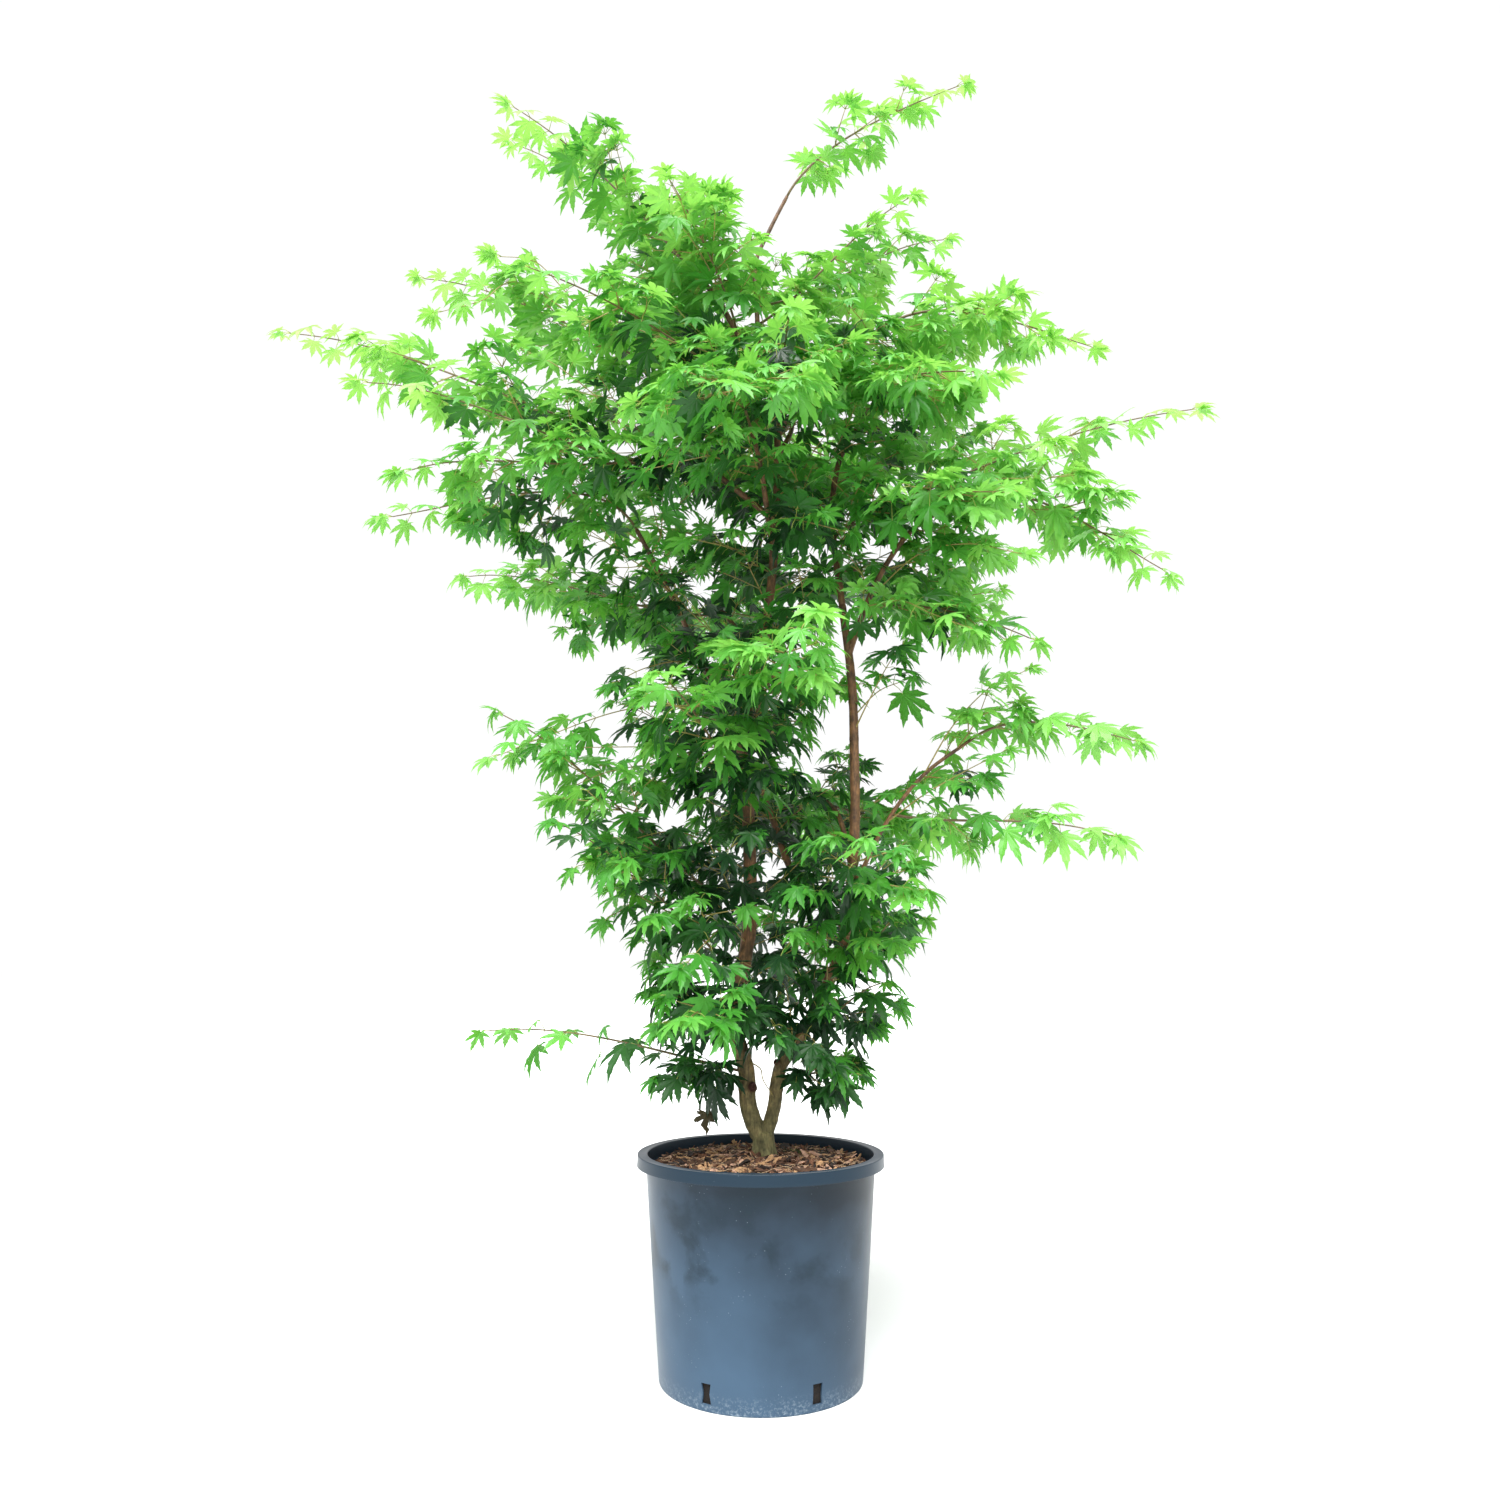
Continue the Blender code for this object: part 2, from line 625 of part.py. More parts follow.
def tree_of(mesh):
    return BVHTree.FromPolygons([vertex.co for vertex in mesh.vertices],
                                [tuple(face.vertices) for face in mesh.polygons])


def leaf_template():
    """A palmate leaf of five lobes: a double cone whose rim is pulled into tips and hollows."""
    half = len(LEAF_OUTLINE) - 1
    segments = 2 * half
    work = bmesh.new()
    bmesh.ops.create_cone(work, cap_ends=True, cap_tris=True, segments=segments,
                          radius1=1.0, radius2=0.0, depth=1.0)
    for vertex in work.verts:
        radius = math.hypot(vertex.co.x, vertex.co.y)
        if radius < 0.5:
            vertex.co = (LEAF_PALM, 0.0, math.copysign(LEAF_HALF_THICKNESS, vertex.co.z))
            continue
        index = round(math.atan2(-vertex.co.x, vertex.co.y) / math.tau * segments)
        angle, reach = LEAF_OUTLINE[abs(index)]
        angle = math.radians(math.copysign(angle, index))
        droop = LEAF_LOBE_DROOP * reach ** 2 if abs(index) < half else 0.0
        vertex.co = (LEAF_PALM + reach * math.cos(angle), reach * math.sin(angle), -droop)
    bmesh.ops.recalc_face_normals(work, faces=work.faces)
    mesh = bpy.data.meshes.new("leaf")
    work.to_mesh(mesh)
    work.free()
    return mesh


def leaf_frame(root, outward, droop, roll, length):
    """Where a leaf's own frame goes: its stalk at root, its tip outward and drooping."""
    flat = Vector((outward.x, outward.y, outward.z * 0.4)).normalized()
    ahead = (flat * math.cos(droop) - UP * math.sin(droop)).normalized()
    side = UP.cross(ahead)
    side = side.normalized() if side.length > 0.05 else Vector((1.0, 0.0, 0.0))
    top = ahead.cross(side)
    turn = Matrix((ahead, side, top)).transposed().to_4x4()
    return Matrix.Translation(root) @ turn @ Matrix.Rotation(roll, 4, "X") @ Matrix.Scale(length, 4)


class Grower:
    """Grows one spray after another by one seeded rule, each in its own space."""

    SHOOT_ANGLE = math.radians(52)
    PAIR_ANGLE = math.radians(68)
    CLEARANCE = 1.03              # a new leaf is tested a little larger than it is

    def __init__(self, spaces, solids, profile):
        self.spaces = spaces
        self.solids = solids
        self.profile = profile
        self.template = leaf_template()

    def twig(self, line, foot, tip):
        radii = [foot + (tip - foot) * length / line.length for length in line.lengths]
        return tube_mesh(line.points, radii, 0, self.profile)

    def leaf(self, name, root, ahead, turn, pieces, last=False):
        """Add a leaf beside or ahead of its twig, smaller where it must be to keep clear."""
        side = ahead.cross(UP).normalized()
        for size in LEAF_TRIALS:
            length = self.leaf_length * (1.0 if last else size)
            droop = TIP_DROOP if last else math.radians(self.random.uniform(*LEAF_DROOP))
            swing = turn * self.random.uniform(0.75, 1.25)
            outward = ahead * math.cos(swing) + side * math.sin(swing)
            roll = 0.0 if last else math.radians(self.random.uniform(-25, 25))
            frame = leaf_frame(root, outward, droop, roll, length)
            trial = self.template.copy()
            trial.transform(frame @ Matrix.Scale(self.CLEARANCE, 4))
            inside = all(self.spaces.owns(name, frame @ Vector((share, 0.0, 0.0)))
                         for share in (LEAF_PALM, 0.9))
            clear = inside and not self.solids.touches(name, trial)
            bpy.data.meshes.remove(trial)
            if clear:
                mesh = self.template.copy()
                mesh.transform(frame)
                self.solids.add(name, mesh)
                pieces.append(mesh)
                return True
        return False

    def shoot(self, name, root, direction, length, pieces):
        """Add a side shoot, shorter where its space is narrow, with a leaf at its tip."""
        for share in (1.0, 0.72, 0.5):
            end = root + direction * length * share - UP * 0.05 * length * share
            if length * share < 0.035 or not self.spaces.owns(name, end):
                continue
            mesh = self.twig(Line((root, end)), SHOOT_FOOT, SHOOT_TIP)
            if self.solids.touches(name, mesh):
                bpy.data.meshes.remove(mesh)
                continue
            if self.leaf(name, root.lerp(end, 0.96), direction, 0.0, pieces):
                self.solids.add(name, mesh)
                pieces.append(mesh)
                return True
            bpy.data.meshes.remove(mesh)
        return False

    def grow(self, name, line, seed):
        """The meshes of one spray apart from its stem."""
        self.random = random.Random(seed)
        spread = MASSES[name][3]
        self.leaf_length = spread * LEAF_SHARE
        pieces = []
        self.leaf(name, line.at(0.99), line.direction(1.0), 0.0, pieces, last=True)
        pairs = max(2, round(line.length / LEAF_SPACING))
        for index in range(pairs):
            share = 0.93 - 0.80 * index / pairs
            for sign in (1, -1):
                self.leaf(name, line.at(share), line.direction(share), sign * self.PAIR_ANGLE, pieces)
        shoots = round(line.length / SHOOT_SPACING)
        for index in range(shoots):
            share = 0.70 - 0.45 * index / shoots
            ahead = line.direction(share)
            side = ahead.cross(UP).normalized()
            sign = 1 if (index + seed) % 2 else -1
            turn = self.SHOOT_ANGLE * self.random.uniform(0.9, 1.15)
            direction = ahead * math.cos(turn) + side * sign * math.sin(turn)
            direction = Vector((direction.x, direction.y, direction.z * 0.4 + self.random.uniform(-0.1, 0.3)))
            direction.normalize()
            length = spread * (1.10 - 0.55 * share) * self.random.uniform(0.8, 1.05)
            self.shoot(name, line.at(share), direction, length, pieces)
        return pieces


def make_foliage(material, collection, cutters, limbs, hosts):
    profile = triangle_profile()
    lines = {}
    solids = Solids()
    for piece in collection.objects:
        solids.add(piece.name, piece.data)
    for name, (host, share, tip, spread) in MASSES.items():
        lines[name] = spray_line(limbs[host], share, tip, spread * LEAF_SHARE)
    grower = Grower(Spaces(lines), solids, profile)
    stems = {}
    for name, (host, share, tip, spread) in MASSES.items():
        stem = grower.twig(lines[name], TWIG_FOOT, TWIG_TIP)
        stems[name] = cut_clear(stem, name, hosts[host], cutters) if share < 1.0 else stem
        solids.add(name, stems[name])
    for seed, (name, line) in enumerate(lines.items(), start=1):
        pieces = grower.grow(name, line, seed)
        join_spray(name, stems[name], pieces, material, collection)
    bpy.data.objects.remove(profile)


def join_spray(name, stem, pieces, material, collection):
    """Fuse a spray's leaves and shoots to its stem."""
    spray = add_object(name, stem, material, collection)
    parts = bpy.data.collections.new(f"{name}_parts")
    for index, mesh in enumerate(pieces):
        add_object(f"{name}_{index}", mesh, material, parts)
    add_boolean(spray, "UNION", "MANIFOLD", cutters=parts)
    apply_modifiers(spray)
    for part in list(parts.objects):
        bpy.data.objects.remove(part)
    bpy.data.collections.remove(parts)
    keep_largest(spray.data)


def main():
    clear_scene()
    tree = bpy.data.collections.new("potted_japanese_maple")
    cutters = bpy.data.collections.new("cutters")
    bpy.context.scene.collection.children.link(tree)
    bpy.context.scene.collection.children.link(cutters)
    plastic = new_material("slate_blue_plastic", (0.085, 0.135, 0.190), 0.45)
    bark_chips = new_material("pine_bark_mulch", (0.130, 0.060, 0.030), 0.95)
    bark = new_material("maple_bark", (0.190, 0.090, 0.055), 0.70)
    leaves = new_material("maple_leaves", (0.150, 0.330, 0.020), 0.50)
    make_pot(plastic, tree, cutters)
    make_mulch(bark_chips, tree)
    trunk, arms = make_trunk(bark, tree)
    shade_round(trunk.data, math.radians(50))
    limbs, hosts = make_limbs(bark, tree, cutters, arms)
    make_foliage(leaves, tree, cutters, limbs, hosts)


main()
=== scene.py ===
"""A young japanese maple in its nursery pot: the pot, bark mulch, barked limbs, twigs and leaves.

Metres, +Z up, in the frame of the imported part.  -Y is the tree's front.
"""
import math
import random

import bmesh
import bpy
import numpy as np
from bpy.props import FloatProperty, FloatVectorProperty, IntProperty, PointerProperty
from bpy.types import Operator, Panel, PropertyGroup
from mathutils import Matrix, Vector, noise


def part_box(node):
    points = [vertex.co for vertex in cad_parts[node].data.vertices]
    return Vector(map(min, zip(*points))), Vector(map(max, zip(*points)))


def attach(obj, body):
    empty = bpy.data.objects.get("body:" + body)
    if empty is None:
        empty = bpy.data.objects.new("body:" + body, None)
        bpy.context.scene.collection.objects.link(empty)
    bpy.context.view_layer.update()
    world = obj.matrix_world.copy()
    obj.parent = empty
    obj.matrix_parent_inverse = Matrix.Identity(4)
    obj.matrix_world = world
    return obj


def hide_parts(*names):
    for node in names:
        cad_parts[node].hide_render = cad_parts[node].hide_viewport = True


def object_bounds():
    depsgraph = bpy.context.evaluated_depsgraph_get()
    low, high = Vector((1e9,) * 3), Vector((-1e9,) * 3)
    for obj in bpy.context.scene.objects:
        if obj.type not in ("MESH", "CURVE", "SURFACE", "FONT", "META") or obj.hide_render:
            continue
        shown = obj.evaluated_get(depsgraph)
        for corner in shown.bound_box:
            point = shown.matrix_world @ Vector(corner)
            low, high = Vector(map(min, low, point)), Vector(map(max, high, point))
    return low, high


bl_info = {
    "name": "Potted Japanese Maple",
    "version": (1, 0, 0),
    "blender": (4, 5, 0),
    "location": "View3D > Sidebar > Maple",
    "description": "Builds a young maple in a nursery pot, leaf by leaf",
    "category": "Add Mesh",
}

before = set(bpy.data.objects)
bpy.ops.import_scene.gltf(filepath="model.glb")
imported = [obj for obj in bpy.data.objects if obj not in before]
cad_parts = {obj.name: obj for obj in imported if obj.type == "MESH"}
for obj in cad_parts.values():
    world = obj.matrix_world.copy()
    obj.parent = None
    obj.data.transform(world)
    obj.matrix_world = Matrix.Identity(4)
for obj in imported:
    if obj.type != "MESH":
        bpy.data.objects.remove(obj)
CAD_BOX = [list(corner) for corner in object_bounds()]
UP = Vector((0.0, 0.0, 1.0))


# ---------------------------------------------------------------- sizes

# Pot
POT_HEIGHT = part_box("pot")[1].z
POT_RIM_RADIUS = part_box("pot")[1].x
POT_BASE_RADIUS = 0.1436
POT_WALL_TOP_RADIUS = 0.1675
POT_WALL = 0.0030
POT_FLOOR = 0.0040
POT_SEGMENTS = 96
RIM_SKIRT = 0.016
RIM_WALL = 0.0025
RIM_ROUND = 0.0012
FLANGE_FILLET = 0.001             # under the flange, towards the wall and the skirt
SKIRT_ROUND = 0.0006
SKIRT_CHAMFER = 0.0004
SKIRT_LIP = 0.0035                # height of the slightly wider lip round the skirt's edge
MOUTH_ROUND = 0.0016
INNER_TOP = 0.010                 # from the rim down to the first ring inside the wall
FLANGE_EDGE = 0.003               # width of the raised edges on top of the flange
FLANGE_DISH = 0.0006              # how far the flange lies lower between them
FOOT_ROUND = 0.0015
SLOT_COUNT = 6
SLOT_WIDTH = 0.0145
SLOT_WAISTS = (0.94, 0.90, 0.94, 0.90, 0.70, 0.92)   # each slot's width half way up, over its ends
SLOT_BOTTOM = 0.0095
SLOT_TOP = 0.0350
SLOT_CUT = 0.020                  # how deep the cutter is, which goes right through the wall

# Mulch: soil with chips, fibres and moss on it
MULCH_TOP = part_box("mulch")[1].z
MULCH_EDGE = 0.2860
MULCH_FLAT = 0.034
MULCH_CURVE = 1.6                 # how late the mulch falls away towards the wall
SOIL_SINK = 0.004                 # how far the soil lies under the mulch's own surface
SOIL_LUMP = 0.0022
SOIL_LUMP_SCALE = 90.0            # lumps about 11 mm across
SOIL_RING = 0.008
SOIL_CLEARANCE = 0.0006
CHIP_TONES = ("tan", "russet", "brown", "umber", "pink")
CHIP_SHARES = (18, 22, 26, 24, 10)                   # how common each tone is
CHIP_SPREAD = 0.42                # of the chips' lengths, which are log-normal
CHIP_LENGTHS = (0.35, 2.3)        # shortest and longest, over the usual length
CHIP_SEED = 11
CHIP_TILT = 15                    # degrees, of most chips
CHIP_STEEP = (30, 55)             # degrees, of the few that stick up
CHIP_STEEP_SHARE = 0.05
CHIP_ROLL = 0.3                   # radians
CHIP_LIFT = (-0.003, 0.002)       # lowest and highest, over the mulch's own surface
CHIP_WIDTHS = (0.7, 1.2)          # least and most, over those of its form
CHIP_THICKNESSES = (0.6, 1.1)
CHIP_RAGGED = (0.72, 1.15)        # least and most reach of a corner
CHIP_SLANT = (0.80, 1.05)         # of the upper face's corners, over the lower one's
CHIP_WARP = 0.03
CHIP_CLEARANCE = 0.002            # from the wall
# Corners of a chip's outline, its width, thickness and curl over its length
CHIP_FORMS = ((7, 0.36, 0.10, 0.0), (6, 0.17, 0.09, 0.15), (7, 0.48, 0.13, 0.0),
              (6, 0.24, 0.07, 0.40), (5, 0.11, 0.07, 0.30))
FIBRES = 170
FIBRE_SEED = 23
FIBRE_RADIUS = 0.00045
FIBRE_POINTS = 6
FIBRE_STEPS = (0.003, 0.008)      # least and most from one point to the next
FIBRE_BEND = 0.35                 # radians, at most, at each
FIBRE_LIFT = (0.0015, 0.0035)     # over the mulch's own surface
FIBRE_CLEARANCE = 0.010           # from the wall
FIBRE_FREE = 0.03                 # from the trunk's middle
# Middle of each cushion of moss, its spread and its number of tufts
MOSS_SPOTS = ((-0.100, 0.078, 0.013, 260), (0.052, 0.046, 0.017, 240), (0.018, 0.038, 0.010, 120),
              (0.118, 0.064, 0.009, 70), (-0.012, 0.058, 0.008, 60))
MOSS_SEED = 31
MOSS_HEIGHTS = (0.0025, 0.0050)
MOSS_RADII = (0.00075, 0.0002)    # of a tuft, at its foot and tip

# Trunk
TRUNK_X = 0.004
TRUNK_Y = 0.010
TRUNK_FOOT_RADIUS = 0.0195
TRUNK_WAIST_RADIUS = 0.0160
TRUNK_WAIST = 0.020               # height over which the foot flares
FORK = 0.328
ROOT_RIDGES = 5
ROOT_RIDGE_DEPTH = 0.12
ROOT_RIDGE_RISE = 1.3             # how high the ridges go, over the height of the flare
FURROWS = Vector((260.0, 260.0, 70.0))               # 4 mm wide and 14 mm long
FURROW_FADE = (0.62, 0.25, 0.15)  # below this height, over this drop, from this least share
GRAIN = (520.0, 0.6)              # 2 mm lumps, and their height over the furrows'
TRUNK_SUNK = 0.006                # how deep the trunk's foot goes into the mulch
TRUNK_SIDES = 28
TRUNK_STEP = 0.006                # between the rings of the trunk's and stems' tubes
TRUNK_VOXEL = 0.0013              # that melts the tubes into one skin
ARM_LENGTH = 0.032
ARM_SINK = 0.012
ARM_BULGE = 0.12
ARM_COLLAR = 0.10                 # how much wider an arm is where it leaves the trunk
KNOT = Vector((-0.0125, -0.0035, 0.394))
KNOT_FACE = Vector((0.003, -0.006, 0.002))           # from the knot's middle to its sunken face
KNOT_ROOT = Vector((0.0, 0.006, -0.004))             # and back into the wood
KNOT_RADIUS = 0.0066
KNOT_TAPER = (1.25, 1.1, 0.7)     # its radius in the wood, in the middle and at its face
KNOT_PIT = (0.0028, 0.0030)       # depth and width of the hollow in that face
STUB_FOOT = Vector((0.030, 0.008, 0.412))
STUB_END = Vector((0.024, -0.004, 0.431))
STUB_RADIUS = 0.0052
STUB_TAPER = (1.2, 1.0, 1.05)     # its radius at its foot, in the middle and at the cut
# Middle and reach of the dark wood round the knot and on the cut stub
SCARS = ((tuple(KNOT + Vector((0.002, -0.006, 0.0))), 0.0125), (tuple(STUB_END), 0.0085))

# Bark
BOUGH_SIDES = 16
BOUGH_STEP = 0.005
BOUGH_COLLAR = 0.35
BOUGH_RELIEF = 0.35               # of the trunk's
BOUGH_LUMPS = Vector((300.0, 300.0, 90.0))           # 3 mm wide and 11 mm long
COLLAR_LENGTH = 0.012
NODE_GAP = 0.062                  # between the ring scars left by old pairs of leaves
RING_WIDTH = 0.0022
RING_HEIGHT = 0.10                # of a ring scar, over the limb's radius
WAVE_HEIGHT = 0.05                # of the slow swells along a limb
WAVE_SCALE = 40.0                 # one about every 25 mm
LEAD_IN = 0.100                   # from a limb's foot back to the point that sets its first bend

# Limbs: waypoints up the limb's centre line, and the radius at its foot and tip.
# A bough starts on its host at the given share of the host's length.
STEMS = {
    "left_stem": (((-0.021, 0.007, 0.416), (-0.041, 0.004, 0.500), (-0.017, 0.008, 0.621),
                   (-0.018, 0.012, 0.799), (-0.028, 0.020, 0.905), (-0.006, 0.030, 1.020)),
                  0.0128, 0.0082),
    "right_stem": (((0.030, 0.012, 0.420), (0.064, 0.014, 0.468), (0.125, 0.020, 0.597),
                    (0.147, 0.020, 0.759), (0.150, 0.020, 0.904), (0.148, 0.020, 1.017),
                    (0.135, 0.022, 1.145)),
                   0.0101, 0.0064),
}
ARMS = {"left_stem": (-0.0165, 0.008), "right_stem": (0.0195, 0.011)}
BOUGHS = {
    "leader": ("left_stem", 1.00, ((0.020, 0.036, 1.190), (0.030, 0.030, 1.380), (0.024, 0.020, 1.517),
                                   (-0.027, 0.010, 1.607), (-0.075, 0.002, 1.690),
                                   (-0.128, -0.004, 1.752)), 0.0080, 0.0040),
    "upper_leader": ("leader", 0.71, ((-0.004, 0.030, 1.700), (-0.006, 0.034, 1.775),
                                      (0.020, 0.030, 1.840), (0.050, 0.030, 1.905)), 0.0045, 0.0030),
    "right_leader": ("right_stem", 1.00, ((0.122, 0.034, 1.300), (0.140, 0.046, 1.420),
                                          (0.200, 0.052, 1.522)), 0.0058, 0.0040),
    "diagonal_bough": ("right_stem", 0.36, ((0.055, 0.062, 0.710), (0.018, 0.072, 0.810),
                                            (-0.029, 0.076, 0.920), (-0.088, 0.074, 1.050),
                                            (-0.156, 0.062, 1.194), (-0.205, 0.045, 1.285)),
                       0.0058, 0.0036),
    "left_high_bough": ("leader", 0.355, ((-0.040, 0.004, 1.340), (-0.115, -0.018, 1.390),
                                         (-0.205, -0.036, 1.408)), 0.0050, 0.0036),
    "right_low_bough": ("right_stem", 0.42, ((0.195, 0.002, 0.785), (0.255, -0.008, 0.860),
                                             (0.330, -0.018, 0.915)), 0.0036, 0.0026),
    "right_mid_bough": ("right_stem", 0.90, ((0.190, 0.008, 1.180), (0.250, -0.008, 1.265),
                                             (0.325, -0.022, 1.305)), 0.0050, 0.0036),
    "right_high_bough": ("leader", 0.55, ((0.085, 0.012, 1.520), (0.150, 0.000, 1.585),
                                          (0.215, -0.006, 1.630)), 0.0046, 0.0034),
    "front_high_bough": ("leader", 0.266, ((0.014, -0.035, 1.270), (0.000, -0.100, 1.335),
                                          (-0.015, -0.170, 1.360)), 0.0050, 0.0034),
    "back_low_bough": ("right_stem", 0.47, ((0.130, 0.070, 0.800), (0.112, 0.140, 0.840),
                                            (0.092, 0.210, 0.855)), 0.0046, 0.0032),
    "back_mid_bough": ("leader", 0.09, ((-0.030, 0.095, 1.120), (-0.065, 0.160, 1.180),
                                        (-0.090, 0.230, 1.205)), 0.0050, 0.0034),
    "back_high_bough": ("leader", 0.50, ((0.055, 0.085, 1.480), (0.060, 0.150, 1.535),
                                         (0.050, 0.215, 1.555)), 0.0046, 0.0034),
}

# Sprays of foliage: host limb, share of its length where the spray leaves it, the tip of its
# furthest leaf, and the half width of the spray.
MASSES = {
    "top_left": ("leader", 1.00, (-0.470, -0.060, 2.042), 0.100),
    "top_left_back": ("upper_leader", 0.45, (-0.500, 0.100, 2.085), 0.115),
    "top_right": ("upper_leader", 1.00, (0.402, -0.030, 2.100), 0.068),
    "top_front": ("leader", 0.80, (-0.180, -0.120, 1.885), 0.120),
    "top_back": ("upper_leader", 0.35, (0.402, 0.200, 1.945), 0.085),
    "upper_left": ("leader", 0.66, (-0.648, 0.060, 1.768), 0.130),
    "far_left": ("left_high_bough", 1.00, (-0.815, -0.080, 1.575), 0.120),
    "outer_left": ("left_high_bough", 0.60, (-0.620, -0.250, 1.388), 0.120),
    "mid_left": ("diagonal_bough", 1.00, (-0.645, -0.040, 1.262), 0.120),
    "lower_left": ("left_stem", 0.44, (-0.440, -0.080, 0.965), 0.125),
    "low_left": ("left_stem", 0.30, (-0.325, -0.180, 0.785), 0.120),
    "low_left_inner": ("left_stem", 0.15, (-0.222, 0.030, 0.632), 0.105),
    "low_shoot": ("left_stem", 0.08, (-0.463, 0.000, 0.468), 0.060),
    "low_front": ("left_stem", 0.20, (-0.110, -0.240, 0.490), 0.105),
    "foot_left": ("left_stem", 0.05, (-0.190, -0.070, 0.405), 0.090),
    "foot_right": ("right_stem", 0.05, (0.185, -0.050, 0.402), 0.080),
    "low_right_inner": ("right_stem", 0.17, (0.230, -0.060, 0.552), 0.095),
    "low_right": ("right_stem", 0.27, (0.272, 0.010, 0.668), 0.090),
    "right_low": ("right_low_bough", 0.45, (0.562, -0.100, 0.736), 0.068),
    "right_mid_low": ("right_low_bough", 1.00, (0.630, -0.030, 0.895), 0.080),
    "right_inner": ("right_mid_bough", 0.25, (0.440, -0.150, 1.015), 0.085),
    "right_mid": ("right_mid_bough", 1.00, (0.668, -0.080, 1.140), 0.115),
    "far_right": ("right_leader", 0.32, (0.752, -0.070, 1.450), 0.105),
    "upper_right": ("right_high_bough", 1.00, (0.580, -0.080, 1.530), 0.115),
    "upper_right_back": ("right_leader", 1.00, (0.500, 0.180, 1.785), 0.120),
    "top_right_inner": ("upper_leader", 0.24, (0.300, -0.060, 1.862), 0.075),
    "front_right_high": ("right_high_bough", 0.30, (0.365, -0.290, 1.370), 0.125),
    "front_right_mid": ("right_leader", 0.30, (0.390, -0.270, 1.210), 0.120),
    "front_upper": ("leader", 0.55, (0.040, -0.390, 1.430), 0.135),
    "front_left_high": ("leader", 0.585, (-0.359, -0.370, 1.505), 0.130),
    "front_high": ("front_high_bough", 1.00, (-0.060, -0.490, 1.250), 0.140),
    "front_left": ("left_high_bough", 0.85, (-0.560, -0.200, 1.258), 0.120),
    "front_mid": ("left_stem", 0.82, (0.075, -0.460, 0.990), 0.130),
    "front_left_low": ("left_stem", 0.70, (-0.150, -0.360, 0.945), 0.125),
    "front_low": ("right_stem", 0.36, (0.130, -0.350, 0.730), 0.120),
    "back_left_high": ("back_high_bough", 0.60, (-0.360, 0.340, 1.970), 0.140),
    "back_right_high": ("back_high_bough", 1.00, (0.340, 0.560, 1.540), 0.145),
    "back_mid": ("back_mid_bough", 1.00, (-0.080, 0.620, 1.250), 0.145),
    "back_left_mid": ("back_mid_bough", 0.60, (-0.602, 0.300, 1.290), 0.130),
    "back_right_mid": ("right_leader", 0.15, (0.520, 0.410, 1.180), 0.140),
    "back_low": ("back_low_bough", 1.00, (0.120, 0.560, 0.800), 0.130),
    "back_left_low": ("left_stem", 0.52, (-0.320, 0.350, 0.790), 0.130),
    "back_right_low": ("back_low_bough", 0.60, (0.420, 0.370, 0.770), 0.125),
}

# Short leafy twigs along the limbs: first and last share of the limb, spacing and usual length
INNER_TWIGS = {
    "left_stem": (0.10, 1.00, 0.042, 0.155),
    "right_stem": (0.08, 0.50, 0.045, 0.135),
    "leader": (0.00, 0.95, 0.034, 0.200),
    "upper_leader": (0.10, 0.62, 0.046, 0.105),
    "right_leader": (0.05, 1.00, 0.040, 0.180),
    "diagonal_bough": (0.12, 1.00, 0.040, 0.150),
    "left_high_bough": (0.25, 1.00, 0.045, 0.150),
    "right_low_bough": (0.60, 1.00, 0.045, 0.100),
    "right_mid_bough": (0.06, 1.00, 0.036, 0.140),
    "right_high_bough": (0.25, 1.00, 0.040, 0.190),
    "front_high_bough": (0.25, 1.00, 0.045, 0.150),
    "back_low_bough": (0.25, 1.00, 0.045, 0.150),
    "back_mid_bough": (0.25, 1.00, 0.045, 0.160),
    "back_high_bough": (0.25, 1.00, 0.045, 0.160),
}

# Twigs and leaves
LEAVING_RISE = 0.38               # how far a side spray leans up along its host where it leaves it
TIP_FALL = 0.22                   # how far a spray's stem bends down at its end
TWIG_FOOT = 0.0024                # radius of a spray's stem at its foot
TWIG_TIP = 0.0008
SHOOT_FOOT = 0.0013
SHOOT_TIP = 0.0006
STALK_RADIUS = 0.00055
STALK_LENGTH = 0.027
LEAF_LENGTH = 0.051               # from the palm to the middle lobe's tip
TIP_REACH = 0.058                 # of the last leaf with its stalk, out to a spray's tip
NODE_SPACING = 0.044              # between pairs of leaves
LAST_NODE = 0.97                  # share of a stem where its last pair stands
BARE_FOOT = 0.08                  # share of a stem that has no leaves
SHOOT_FROM = 0.08
SHOOT_TO = 0.74
SHOOT_CHANCE = 0.80
OPEN_SPRAYS = {"top_left": 0.55, "top_left_back": 0.50, "top_right": 0.25, "right_mid_low": 0.45,
               "right_low": 0.25, "upper_right": 0.60, "top_right_inner": 0.60}
SPARSE_WIDTH = 0.062              # a narrower spray is a single thin shoot
SPARSE_FOOT = 0.36                # which is bare so far along
SPARSE_NODES = 5                  # then has so many pairs of leaves
SPARSE_LEAF = 1.08                # of this size against the others
SHOOT_REACH = 1.15                # of the longest side shoots, over the spray's half width
SHOOT_SPACING = 0.86              # of their pairs of leaves, over the spacing on the stem
SHOOT_WANDER = 0.12               # how much they bend from one pair to the next
SHOOT_LIFT = (-0.03, 0.08)        # the mean and spread of how they bend upwards
SECOND_SHOOT_LENGTH = 0.080       # a side shoot that is longer branches again
SECOND_SHOOT_FOOT = 0.75          # radius of that branch's foot, over a side shoot's
SPACE_MARGIN = 0.90               # of a twig's distance to its own stem, against that to others
LIMB_CLEARANCE = 0.010            # of a leaf's palm from a limb's bark
BOX_MARGIN = 0.02                 # of a side shoot from the sides of the whole tree's box

# Shades of leaf: lit and shaded copies of one leaf, painted light and painted shade, from the best lit
# to the most shaded, the young leaves at twigs' ends among the palest
LEAF_SHADES = ("lime", "fresh", "spring", "mid", "deep", "shaded")
